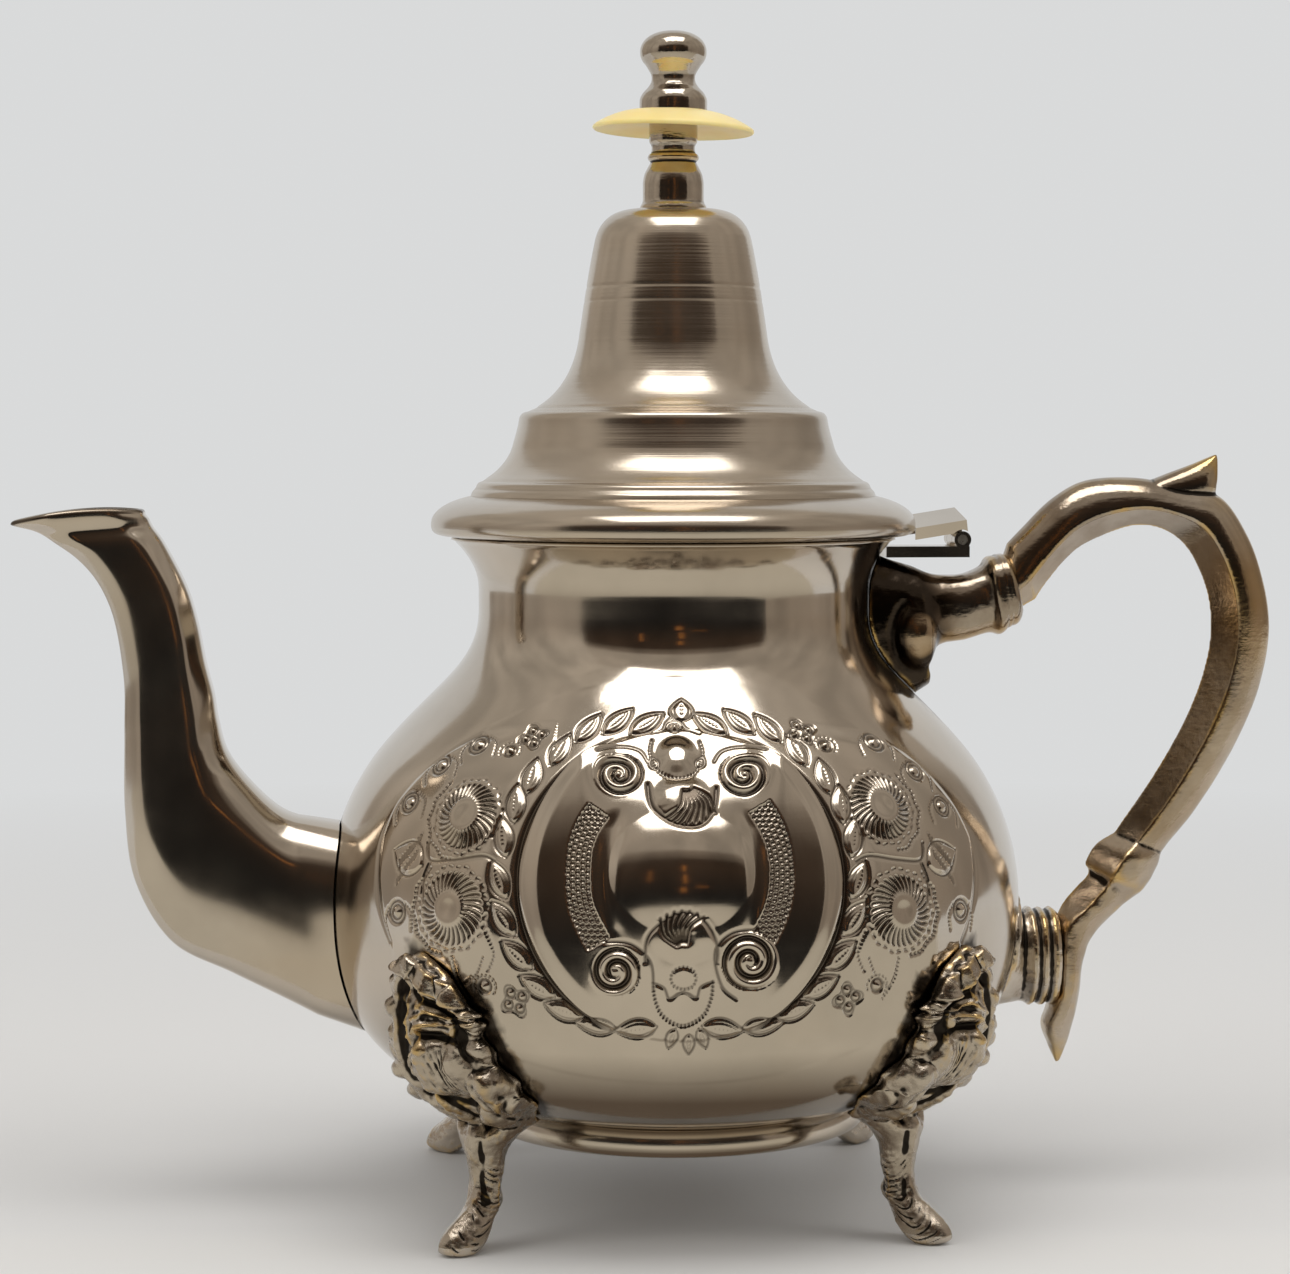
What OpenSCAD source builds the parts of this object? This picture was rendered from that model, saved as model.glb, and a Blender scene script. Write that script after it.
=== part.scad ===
// Footed Moroccan teapot with a hinged bell lid, an S-shaped spout and a cast side handle.
// Z is up and z = 0 is the table. X points to the handle, and the pot's axis is x = y = 0.

/* [Body] */
// Radius of the belly at its widest
belly_r = 69; // [62:0.5:76]
// Height of the widest part of the belly above the table
belly_z = 61; // [57:0.5:66]
// Depth of the lower belly, from its widest part to the flat bottom
belly_drop = 40.7; // [37:0.1:42]
// Squareness of the lower belly, where 2 is an ellipse
belly_square = 2.45; // [2.2:0.05:3]
// Radius of the flat bottom
bottom_r = 20; // [12:1:26]
// Radius of the arc that makes the upper belly
upper_arc_r = 47.7; // [42:0.1:52]
// Angle up the arc at which the shoulder leaves it
shoulder_angle = 41; // [35:1:48]
// Radius of the neck at its narrowest
neck_r = 38.8; // [36:0.1:42]
// Height from the widest belly to the narrowest neck
neck_rise = 59.5; // [56:0.5:64]
// Height of the straight band at the narrowest neck
neck_straight = 4; // [3:0.5:6]
// Radius of the turned-out lip
lip_r = 44.2; // [42:0.1:47]
// Height from the narrowest neck to the lip
lip_rise = 12.5; // [10:0.5:15]
// Wall of the spun body
body_wall = 1.0; // [0.8:0.1:1.5]
// Radius of the chased medallion on each side
medallion_r = 27.5; // [24:0.5:29]
// Height of the medallion above the belly
medallion_raise = 0.9; // [0.5:0.1:1.2]
// Turn of the two chased sides about the pot's axis
medallion_turn = -5.5; // [-8:0.5:8]
// Height of the medallion's centre above the widest belly
medallion_rise = 12; // [0:0.5:16]

/* [Foot ring] */
// Outer radius of the rolled foot ring
ring_r = 38.8; // [36:0.1:42]
// Radial width of the foot ring
ring_w = 4.0; // [3:0.1:6]
// Height of the foot ring
ring_h = 5.3; // [4.8:0.1:8]

/* [Strainer] */
// Radius of each strainer hole behind the spout
strainer_hole_r = 1.9; // [1.5:0.1:2]
// Distance between strainer holes
strainer_pitch = 5.6; // [5:0.1:6]

/* [Spout] */
// Wall of the cast spout
spout_wall = 1.7; // [1.4:0.1:2]
// Squareness of the spout's section, where 2 is an ellipse
spout_square = 2.8; // [2:0.1:4]
// Half the width of the spout where it meets the belly
spout_root_w = 14; // [12:0.5:16]
// Half the width of the spout at its mouth
spout_mouth_w = 6.2; // [5.5:0.1:8]

/* [Handle] */
// Half the width of the grip at its middle
grip_w = 5.6; // [5:0.1:7]
// Half the width of the upper bracket where it is soldered to the neck
upper_bracket_w = 9.5; // [8:0.5:11]
// Height of the upper bracket's root above the narrowest neck
upper_root_rise = 8.6; // [6:0.1:9]
// Depth of the upper bracket's root below the narrowest neck
upper_root_drop = 19.2; // [16:0.1:21]
// Half the width of the lower bracket's ribbed barrel
barrel_w = 8; // [7:0.5:10]
// Half the height of the lower bracket's ribbed barrel
barrel_h = 10; // [9:0.5:12]
// Depth of the barrel's middle below the widest belly
barrel_drop = 13.6; // [11:0.1:14]
// Length of the barrel from the belly to the grip
barrel_l = 9.25; // [8.6:0.05:9.6]
// Depth of the grooves between the barrel's ribs
rib_depth = 0.7; // [0.3:0.1:1]

/* [Legs] */
// Angle of each leg from the pot's front-to-back line
leg_angle = 46.6; // [42:0.2:50]
// Distance from the pot's axis to the middle of each ankle
ankle_reach = 54; // [50:0.5:58]
// Thickness of the ankle
ankle_d = 7; // [6:0.1:9]
// Length of the sole from heel to toe
sole_l = 10; // [8:0.5:13]
// Half the width of the leaf on the knee
leaf_w = 14; // [12:0.5:17]
// How far the knee stands off the belly
knee_thick = 6.5; // [5:0.5:8]

/* [Lid] */
// Radius of the lid's rolled rim
rim_r = 48.2; // [46.5:0.1:51]
// Height of the rolled rim
rim_h = 7.9; // [7:0.1:9]
// Wall of the rim
rim_wall = 1.2; // [0.9:0.1:1.5]
// Radius of the lid's dome where it stands on the rim
dome_r = 40.3; // [38.5:0.1:42]
// Wall of the dome
dome_wall = 0.9; // [0.7:0.1:1.2]
// Height of the dome's lower tier
lower_tier_h = 3.4; // [3:0.1:4.5]
// Height of the dome's middle tier
middle_tier_h = 13.2; // [12:0.1:15]
// Height of the bell
bell_h = 40; // [36:0.5:44]
// Radius of the bell below its rounded top
bell_top_r = 15.6; // [14:0.1:17]
// Depth that the inner collar reaches below the lid's seat
collar_depth = 6.6; // [5:0.1:8]
// Running gap between the inner collar and the neck
collar_gap = 0.45; // [0.3:0.05:0.8]
// Wall of the inner collar
collar_wall = 0.8; // [0.6:0.1:1.2]
// Gap between the lid's seat and the lip
seat_gap = 0.2; // [0.1:0.05:0.3]

/* [Hinge] */
// Length of the hinge pin's barrel across the pot
hinge_l = 11; // [9:0.5:14]
// Length of each outer knuckle
outer_knuckle_l = 2.9; // [2.4:0.1:3.2]
// Outer radius of the hinge knuckles
knuckle_r = 1.7; // [1.5:0.1:2]
// Radius of the hinge pin
hinge_pin_r = 1.0; // [0.8:0.05:1.1]
// Radial running clearance of the hinge pin
hinge_clear = 0.05; // [0.02:0.01:0.1]
// Gap between neighbouring knuckles
knuckle_gap = 0.12; // [0.08:0.01:0.3]
// Distance from the lid's rim to the hinge axis
hinge_out = 9.4; // [8.5:0.1:11]
// Depth of the hinge axis below the lid's seat
hinge_down = 0.9; // [0.5:0.1:1.5]
// Upward pitch of the lid's hinge plate
plate_pitch = 9; // [5:0.5:12]
// Roll of the lid's hinge plate
plate_roll = 12; // [0:0.5:14]
// Thickness of the hinge sheet
plate_t = 0.9; // [0.7:0.1:1.2]
// Thickness of the hinge bar under the lip
bar_t = 2.2; // [1.8:0.1:2.6]

/* [Finial] */
// Height of the turned stem on the lid
stem_h = 16.9; // [15:0.1:19]
// Radius of the turned stem at its foot
stem_r = 6.05; // [5.5:0.05:7]
// Radius of the cream heat disc
disc_r = 16; // [14:0.1:18]
// Thickness of the heat disc
disc_t = 2.4; // [2:0.1:3]
// How far the disc's edge drops below its middle
disc_drop = 1.7; // [1.2:0.1:2.5]
// Radius of the knob's ball
knob_r = 6.6; // [6:0.1:8]
// Height of the knob
knob_h = 15.8; // [14:0.1:18]
// Radius of the finial screw
screw_r = 2.0; // [1.5:0.1:2.2]
// Clearance round the finial screw
screw_clear = 0.15; // [0.1:0.05:0.3]
// Radius of the screw's head
screw_head_r = 3.6; // [3:0.1:4]
// Height of the screw's head
screw_head_h = 2.2; // [1.5:0.1:3]
// Radius of the washer under the dome
washer_r = 5.2; // [4.5:0.1:6]
// Thickness of the washer
washer_t = 1.0; // [0.6:0.1:1.5]
// Depth that the screw reaches into the knob
screw_grip = 7.5; // [5:0.5:9]

/* [Fit] */
// Thickness of the solder between two fixed pieces
solder_gap = 0.15; // [0.1:0.05:0.3]
// Thickness of the solder under a cast piece's curved pad
pad_gap = 0.28; // [0.2:0.02:0.3]
// Gap between the lid's hinge plate and the body's knuckles
plate_gap = 0.3; // [0.2:0.05:0.5]

/* [Hidden] */

nickel = [0.74, 0.70, 0.64];
cast = [0.62, 0.57, 0.50];
cream = [0.93, 0.85, 0.62];
steel = [0.55, 0.54, 0.52];
round_fn = 96;
far = 400;

// ---- curves ----

function bez(p, t) =
    let (u = 1 - t)
    u * u * u * p[0] + 3 * u * u * t * p[1] + 3 * u * t * t * p[2] + t * t * t * p[3];

// A cubic from p[0] to p[3] in n steps, without its first point
function bez_tail(p, n) = [for (i = [1 : n]) bez(p, i / n)];

function arc_pts(c, r, a0, a1, n) =
    [for (i = [0 : n]) c + r * [cos(a0 + (a1 - a0) * i / n), sin(a0 + (a1 - a0) * i / n)]];

// A smooth value between the rows of a table, at row number s
function spline_at(rows, s) =
    let (last = len(rows) - 1, i = min(floor(s), last - 1), t = s - i,
         a = rows[max(i - 1, 0)], b = rows[i], c = rows[i + 1], d = rows[min(i + 2, last)])
    b + t * ((c - a) / 2 + t * (a - 2.5 * b + 2 * c - d / 2 + t * (1.5 * (b - c) + (d - a) / 2)));

function signed_pow(v, e) = sign(v) * pow(abs(v), e);

// Unit section points: a rounded rectangle, and a rounded back with a keel in front
function square_section(n, e) =
    [for (i = [0 : n - 1]) let (a = 360 * i / n)
        [signed_pow(cos(a), 2 / e), signed_pow(sin(a), 2 / e)]];

function keel_section(n, flat) =
    [for (i = [0 : n - 1]) let (a = 360 * i / n, c = cos(a), s = sin(a))
        c >= 0 ? [1.25 * c - 0.25, s]
               : [-0.25 - 0.75 * (flat * signed_pow(-c, 0.4) + (1 - flat) * (1 - abs(s))),
                  s * (1 - 0.12 * flat * -c)]];

// ---- solids from rings of points ----

// Two triangles for each cell between neighbouring rings
function ring_sides(n, m, base, outward) =
    [for (k = [0 : m - 2], i = [0 : n - 1])
        let (j = (i + 1) % n, a = base + k * n + i, b = base + k * n + j)
        each outward ? [[a, b, b + n], [a, b + n, a + n]] : [[a, b + n, b], [a, a + n, b + n]]];

module loft(rings) {
    n = len(rings[0]);
    m = len(rings);
    polyhedron(points = [for (r = rings) each r],
               faces = concat(ring_sides(n, m, 0, true),
                              [[for (i = [n - 1 : -1 : 0]) i]],
                              [[for (i = [0 : n - 1]) (m - 1) * n + i]]),
               convexity = 8);
}

module tube_loft(outer, inner) {
    n = len(outer[0]);
    m = len(outer);
    skin = n * m;
    last = (m - 1) * n;
    polyhedron(points = concat([for (r = outer) each r], [for (r = inner) each r]),
               faces = concat(ring_sides(n, m, 0, true), ring_sides(n, m, skin, false),
                   [for (i = [0 : n - 1]) let (j = (i + 1) % n) [j, i, skin + i, skin + j]],
                   [for (i = [0 : n - 1]) let (j = (i + 1) % n)
                       [last + i, last + j, skin + last + j, skin + last + i]]),
               convexity = 8);
}

// A ring across the handle's plane, from an outer point to an inner point, w wide each way
function cross_ring(unit, po, pi_, w) =
    let (c = (po + pi_) / 2, h = (po - pi_) / 2)
    [for (u = unit) [c[0] + u[0] * h[0], u[1] * w, c[1] + u[0] * h[1]]];

// ---- body profile ----

lip_z = belly_z + neck_rise + lip_rise;
neck_z = belly_z + neck_rise;
neck_low_z = neck_z - neck_straight / 2;
neck_top_z = neck_z + neck_straight / 2;
base_z = belly_z - belly_drop;
shoulder_p = [belly_r - upper_arc_r * (1 - cos(shoulder_angle)),
              belly_z + upper_arc_r * sin(shoulder_angle)];
shoulder_dir = [-sin(shoulder_angle), cos(shoulder_angle)];

function lower_belly_pts(n) =
    [for (i = [0 : n]) let (a = 90 * i / n)
        [bottom_r + (belly_r - bottom_r) * pow(sin(a), 2 / belly_square),
         belly_z - belly_drop * pow(cos(a), 2 / belly_square)]];

upper_belly = arc_pts([belly_r - upper_arc_r, belly_z], upper_arc_r, 0, shoulder_angle, 9);
shoulder = bez_tail([shoulder_p, shoulder_p + 16 * shoulder_dir,
                     [neck_r, neck_z - 12.5], [neck_r, neck_low_z]], 9);
lip_flare = bez_tail([[neck_r, neck_top_z], [neck_r, neck_top_z + 3.4],
                      [lip_r - 4.2, lip_z - 4.3], [lip_r, lip_z]], 6);
body_profile = concat(lower_belly_pts(12), [for (i = [1 : 9]) upper_belly[i]], shoulder,
                      [[neck_r, neck_top_z]], lip_flare);
body_table = [for (i = [1 : len(body_profile) - 1]) [body_profile[i][1], body_profile[i][0]]];

// Outer radius of the body at height z
function body_r(z) = lookup(z, body_table);

// The body's x on the spout or handle side at height z and offset y, one pad gap clear
function seat_x(y, z) = sqrt(pow(body_r(z) + pad_gap, 2) - y * y);

// Rings from the middle of a soldered pad out to its edge, lying on the body
function seat_rings(unit, w, z, h) =
    [for (k = [0.15, 0.4, 0.7, 1]) [for (u = unit)
        let (py = k * u[1] * w, pz = z + k * u[0] * h) [seat_x(py, pz), py, pz]]];

module solid_profile(pts, top) {
    polygon(concat([[0, pts[0][1]]], pts, [[0, top]]));
}

// The band between an outline grown by one amount and shrunk by another
module band_profile(grow, shrink) {
    intersection() {
        difference() {
            offset(delta = grow) union() { children(); mirror([1, 0]) children(); }
            offset(delta = -shrink) union() { children(); mirror([1, 0]) children(); }
        }
        translate([0, -far]) square([far, 2 * far]);
    }
}

module body_solid_profile() { solid_profile(body_profile, lip_z); }

module medallion(side) {
    rotate([0, 0, side + medallion_turn])
    intersection() {
        rotate_extrude($fn = round_fn)
            band_profile(medallion_raise, body_wall / 2) body_solid_profile();
        translate([belly_r - upper_arc_r, 0, belly_z])
            rotate([0, 90 - asin(medallion_rise / upper_arc_r), 0])
                cylinder(r = medallion_r, h = upper_arc_r + 5, $fn = round_fn);
    }
}

strainer_z = belly_z - 5;

// Rows of three and four holes, set like bricks
module strainer_holes() {
    for (row = [-2 : 2]) {
        count = 3 + abs(row) % 2;
        for (col = [0 : count - 1])
            translate([-belly_r - 5, (col - (count - 1) / 2) * strainer_pitch,
                       strainer_z + row * strainer_pitch * sin(60)])
                rotate([0, 90, 0]) cylinder(r = strainer_hole_r, h = 20, $fn = 24);
    }
}

module body() {
    color(nickel) difference() {
        union() {
            rotate_extrude($fn = round_fn) difference() {
                band_profile(0, body_wall) body_solid_profile();
                translate([0, lip_z - 1.5 * body_wall]) square([lip_r - 1.6 * body_wall, far]);
            }
            medallion(-90);
            medallion(90);
        }
        strainer_holes();
    }
}

// ---- foot ring ----

ring_low_z = base_z + 1.2 - ring_h;

module foot_ring() {
    color(nickel) rotate_extrude($fn = round_fn) difference() {
        polygon(concat([[ring_r - ring_w, ring_low_z + ring_h]],
                       [[ring_r - ring_w, ring_low_z + 0.8], [ring_r - ring_w + 1, ring_low_z]],
                       bez_tail([[ring_r - 1.2, ring_low_z], [ring_r + 0.4, ring_low_z + 0.5],
                                 [ring_r + 0.4, ring_low_z + 4.2],
                                 [ring_r - 1.7, ring_low_z + ring_h]], 7)));
        offset(delta = solder_gap) body_solid_profile();
    }
}

// ---- spout: [outer x, outer z, inner x, inner z, half width], from the belly's middle ----

spout_rows = [
    [-4, -26.0, 0.5, 15.6, spout_root_w],
    [6.0, -20.3, 8.5, 18.0, spout_root_w - 1.2],
    [18.5, -14.0, 15.0, 23.8, spout_root_w - 2.6],
    [30.5, -7.6, 19.4, 29.8, spout_root_w - 3.8],
    [37.6, 4.5, 21.2, 36.0, spout_root_w - 4.8],
    [39.5, 18.5, 22.1, 41.5, spout_root_w - 5.6],
    [39.5, 33.5, 23.6, 47.6, spout_root_w - 6.4],
    [39.6, 45.5, 25.0, 55.0, spout_mouth_w + 1.0],
    [42.2, 59.0, 27.0, 62.0, spout_mouth_w + 0.5],
    [48.5, 68.2, 30.6, 69.4, spout_mouth_w],
    [61.0, 75.6, 35.2, 77.6, spout_mouth_w]];
spout_sections = 30;
spout_sides = 28;
spout_unit = square_section(spout_sides, spout_square);

function spout_row(i) = spline_at(spout_rows, (len(spout_rows) - 1) * i / spout_sections);

// Walls thicken along the slanting mouth, so they stay even across it
function spout_ring(i, wall) =
    let (r = spout_row(i), s = i / spout_sections,
         po = [-belly_r - r[0], belly_z + r[1]], pi_ = [-belly_r - r[2], belly_z + r[3]],
         d = (po - pi_) / norm(po - pi_),
         slant = 1 + 1.1 * pow(s, 8))
    cross_ring(spout_unit, po - wall * slant * d, pi_ + wall * d, r[4] - wall);

function spout_root_ring(wall) =
    let (r = spout_row(0), zo = belly_z + r[1], zi = belly_z + r[3])
    [for (u = spout_unit)
        let (y = u[1] * (r[4] - wall),
             z = (zo + zi) / 2 + u[0] * ((zo - zi) / 2 + wall))
        [-seat_x(y, z), y, z]];

module spout() {
    color(nickel) tube_loft(
        concat([spout_root_ring(0)], [for (i = [2 : spout_sections]) spout_ring(i, 0)]),
        concat([spout_root_ring(spout_wall)],
               [for (i = [2 : spout_sections]) spout_ring(i, spout_wall)]));
}

// ---- handle: rows are [outer x, outer z, inner x, inner z, half width], as on the spout ----

collar_top = [belly_r - 2.1, belly_z + 67.6];
collar_bottom = [belly_r + 1.6, belly_z + 56.0];
bracket_sides = 20;
bracket_unit = square_section(bracket_sides, 2.6);

upper_rows = [
    [-20.6, 65.8, -17.6, 42.0, upper_bracket_w - 0.9],
    [-16.4, 64.3, -16.4, 49.4, upper_bracket_w - 2.3],
    [-10.7, 64.3, -10.2, 51.0, upper_bracket_w - 3.1],
    [-6.4, 66.0, -5.4, 52.4, upper_bracket_w - 3.1],
    [-5.0, 67.6, -3.0, 52.4, upper_bracket_w - 2.3],
    [-3.2, 68.3, -0.6, 53.6, upper_bracket_w - 2.1],
    [-2.2, 67.9, 1.1, 54.9, upper_bracket_w - 2.8]];

function plane_ring(unit, r) =
    cross_ring(unit, [belly_r + r[0], belly_z + r[1]], [belly_r + r[2], belly_z + r[3]], r[4]);

upper_root_top = neck_z + upper_root_rise;
upper_root_bottom = neck_z - upper_root_drop;

module handle_upper_bracket() {
    root = seat_rings(bracket_unit, upper_bracket_w, (upper_root_top + upper_root_bottom) / 2,
                      (upper_root_top - upper_root_bottom) / 2);
    joint = cross_ring(bracket_unit, collar_top, collar_bottom, upper_bracket_w - 3.4);
    color(cast) loft(concat(root, [for (i = [0 : 14])
        plane_ring(bracket_unit, spline_at(upper_rows, 6 * i / 14))], [joint]));
}

grip_rows = [
    [-1.2, 70.4, 4.6, 59.0, grip_w - 0.4],
    [1.9, 73.6, 7.4, 63.0, grip_w - 0.2],
    [8.0, 79.5, 12.6, 68.8, grip_w],
    [15.0, 83.1, 18.2, 71.8, grip_w],
    [25.0, 83.6, 25.2, 73.9, grip_w],
    [34.5, 81.7, 31.0, 73.0, grip_w],
    [42.6, 79.6, 35.6, 69.6, grip_w],
    [48.3, 71.8, 38.8, 64.0, grip_w],
    [51.8, 62.0, 40.6, 58.0, grip_w],
    [53.0, 52.6, 40.9, 51.6, grip_w],
    [51.6, 42.9, 39.6, 44.4, grip_w],
    [48.2, 33.4, 36.9, 36.8, grip_w],
    [43.2, 24.0, 32.7, 28.6, grip_w],
    [37.6, 15.4, 27.7, 20.5, grip_w - 0.1],
    [32.6, 9.4, 22.9, 13.6, grip_w - 0.3]];

lower_rows = [
    [31.0, 7.2, 21.4, 11.4, grip_w - 0.5],
    [30.2, 4.6, 17.6, 9.0, grip_w + 0.9],
    [27.6, 0.0, 15.5, 5.4, grip_w + 0.9],
    [23.8, -3.0, 16.0, 3.0, grip_w - 0.9],
    [19.8, -6.4, 11.6, -1.9, grip_w - 0.7],
    [16.4, -10.4, 9.6, -6.2, grip_w - 0.5],
    [14.4, -15.4, 9.5, -13.2, grip_w - 0.4],
    [12.8, -20.4, 9.5, -20.2, grip_w - 0.6],
    [12.2, -24.8, 9.5, -24.2, grip_w - 1.0],
    [12.0, -28.0, 6.6, -28.0, grip_w - 1.6],
    [11.8, -30.6, 8.0, -31.6, grip_w - 2.9],
    [10.5, -35.4, 9.6, -35.7, 0.5]];

spur_rows = [
    [26.0, 82.2, 27.5, 79.5, 3.4],
    [31.5, 84.4, 33.5, 78.0, 3.6],
    [36.4, 86.2, 40.4, 79.0, 3.0],
    [39.8, 87.6, 41.8, 82.0, 1.9],
    [41.8, 88.4, 42.0, 86.4, 0.6]];

grip_sides = 18;
tail_from = 4;

module handle_grip() {
    keel = keel_section(grip_sides, 0);
    blunt = keel_section(grip_sides, 1);
    joint = cross_ring(keel, collar_top, collar_bottom + [-0.3, 1.2], grip_w - 0.6);
    color(cast) union() {
        loft(concat([joint],
            [for (i = [0 : 36]) plane_ring(keel, spline_at(grip_rows, 14 * i / 36))],
            [for (i = [0 : 30])
                let (s = (len(lower_rows) - 1) * i / 30, k = min(1, max(0, (s - tail_from) / 1.5)))
                plane_ring(blunt * k + keel * (1 - k), spline_at(lower_rows, s))]));
        loft([for (i = [0 : 10]) plane_ring(square_section(12, 2.2), spline_at(spur_rows, 4 * i / 10))]);
    }
}

// ---- lower bracket: an oval barrel with ribs, [x from the belly, height, width] per ring ----

barrel_z = belly_z - barrel_drop;
barrel_ribs = 3;
barrel_sides = 24;

module handle_lower_bracket() {
    unit = square_section(barrel_sides, 2.2);
    steps = 6 * barrel_ribs;
    root = seat_rings(unit, barrel_w + 1, barrel_z + 1.4, barrel_h + 1.8);
    flange = [for (p = root[3]) [p[0] + 1.1, p[1] * 0.98, barrel_z + (p[2] - barrel_z) * 0.97]];
    waist = [for (u = unit) [belly_r + 1.6, u[1] * (barrel_w - 1.2), barrel_z + u[0] * (barrel_h - 0.9)]];
    color(cast) loft(concat(root, [flange, waist], [for (i = [0 : steps])
        let (x = belly_r + 2.6 + (barrel_l - 2.6) * i / steps,
             k = 1 - rib_depth * (0.5 + 0.5 * cos(360 * barrel_ribs * i / steps)) / barrel_h)
        [for (u = unit) [x, u[1] * barrel_w * k, barrel_z + u[0] * barrel_h * k]]]));
}

// ---- legs ----

leaf_top_z = belly_z - 2;
ankle_in = ankle_reach - ankle_d / 2;
heel_reach = ankle_reach + 0.6;

// [height, outer radius past the inner one, half width, inner radius away from the belly]
leg_rows = [
    [0, sole_l - 1, ankle_d / 2 - 0.4, heel_reach + 0.7],
    [1.2, sole_l + 1, ankle_d / 2 + 0.1, heel_reach - 0.2],
    [3.6, sole_l + 0.6, ankle_d / 2 + 0.2, heel_reach - 0.9],
    [6.0, sole_l - 1.2, ankle_d / 2 + 0.1, heel_reach - 2.0],
    [8.5, ankle_d + 0.9, ankle_d / 2, ankle_in - 0.1],
    [12.0, ankle_d, ankle_d / 2, ankle_in],
    [15.5, ankle_d, ankle_d / 2, ankle_in],
    [19.0, ankle_d + 1.4, ankle_d / 2 + 0.8, ankle_in - 0.5],
    [23.0, knee_thick + 4.0, leaf_w * 0.52, ankle_in - 2.5],
    [27.0, knee_thick + 3.6, leaf_w * 0.80, ankle_in - 6],
    [31.5, knee_thick + 2.2, leaf_w, ankle_in - 12],
    [36.5, knee_thick + 0.8, leaf_w * 0.93, 0],
    [42.0, knee_thick, leaf_w * 0.80, 0],
    [48.0, knee_thick - 1.4, leaf_w * 0.78, 0],
    [leaf_top_z - 5.5, knee_thick - 2.4, leaf_w * 0.74, 0],
    [leaf_top_z - 2.0, knee_thick - 3.6, leaf_w * 0.46, 0],
    [leaf_top_z, knee_thick - 4.8, leaf_w * 0.24, 0]];
leg_sections = 33;
leg_half = 9;
leaf_low_z = base_z + 1.5;

// Swell of the cast leaf across its width: a rib in the middle, a dip and a rolled edge
function leaf_swell(s) =
    (0.30 + 0.70 * sqrt(max(0, 1 - s * s)) - 0.16 * sin(180 * min(1, abs(s) * 1.25))
        + 0.10 * cos(540 * s)) * (abs(s) > 0.999 ? 0.35 : 1);

// The shank is oval in section, and the leaf lies on the belly
function leg_ring(i) =
    let (r = spline_at(leg_rows, (len(leg_rows) - 1) * i / leg_sections),
         z = max(0, min(r[0], leaf_top_z)),
         leaf = min(1, max(0, (z - leaf_low_z) / 5)),
         scallop = z > 24 && z < leaf_top_z - 3 ? 1 + 0.06 * cos(z * 62) : 1,
         w = r[2] * scallop,
         inner = max((z > base_z + 1 ? body_r(z) : 0) + pad_gap, r[3]))
    [for (side = [-1, 1], k = [0 : leg_half])
        let (s = side * (2 * k / leg_half - 1) * -1, t = s * w,
             round_part = sqrt(max(0, 1 - s * s)),
             back = sqrt(inner * inner - t * t) + (1 - leaf) * r[1] / 2 * (1 - round_part),
             front = sqrt(inner * inner - t * t) + max(0.5, leaf * r[1] * leaf_swell(s)
                 + (1 - leaf) * r[1] / 2 * (1 + round_part)))
        [side < 0 ? back : front, t, z]];

module leg(angle) {
    color(cast) rotate([0, 0, angle]) loft([for (i = [0 : leg_sections]) leg_ring(i)]);
}

module leg_front_left() { leg(-90 - leg_angle); }
module leg_front_right() { leg(-90 + leg_angle); }
module leg_rear_left() { leg(90 + leg_angle); }
module leg_rear_right() { leg(90 - leg_angle); }

// ---- lid ----

seat_z = lip_z + seat_gap;
rim_top_z = seat_z + rim_h;
collar_low_z = seat_z - collar_depth;
collar_out_r = body_r(collar_low_z) - body_wall - collar_gap;

module rim_profile() {
    polygon(concat([[0, seat_z], [lip_r, seat_z]],
        bez_tail([[lip_r, seat_z], [rim_r - 0.4, seat_z], [rim_r, seat_z + 0.9],
                  [rim_r, seat_z + 2.3]], 5),
        bez_tail([[rim_r, seat_z + 2.3], [rim_r, seat_z + 5.3],
                  [dome_r + 4.0, rim_top_z - 0.9], [dome_r, rim_top_z]], 8),
        [[0, rim_top_z]]));
}

module lid_rim() {
    color(nickel) rotate_extrude($fn = round_fn) difference() {
        band_profile(0, rim_wall) rim_profile();
        square([collar_out_r + solder_gap, far]);
        translate([0, seat_z + 2 * rim_wall]) square([dome_r - 1.5 * dome_wall, far]);
    }
}

module lid_collar() {
    color(nickel) rotate_extrude($fn = round_fn)
        translate([collar_out_r - collar_wall, collar_low_z])
            square([collar_wall, seat_z + rim_h - rim_wall - solder_gap - collar_low_z]);
}

dome_z = rim_top_z;
tier1_z = dome_z + lower_tier_h;
tier2_z = tier1_z + middle_tier_h;
bell_top_z = tier2_z + bell_h;
tier1_r = dome_r - 1.3;
tier2_low_r = tier1_r - 5.0;
tier2_r = tier2_low_r - 3.3;

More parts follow.
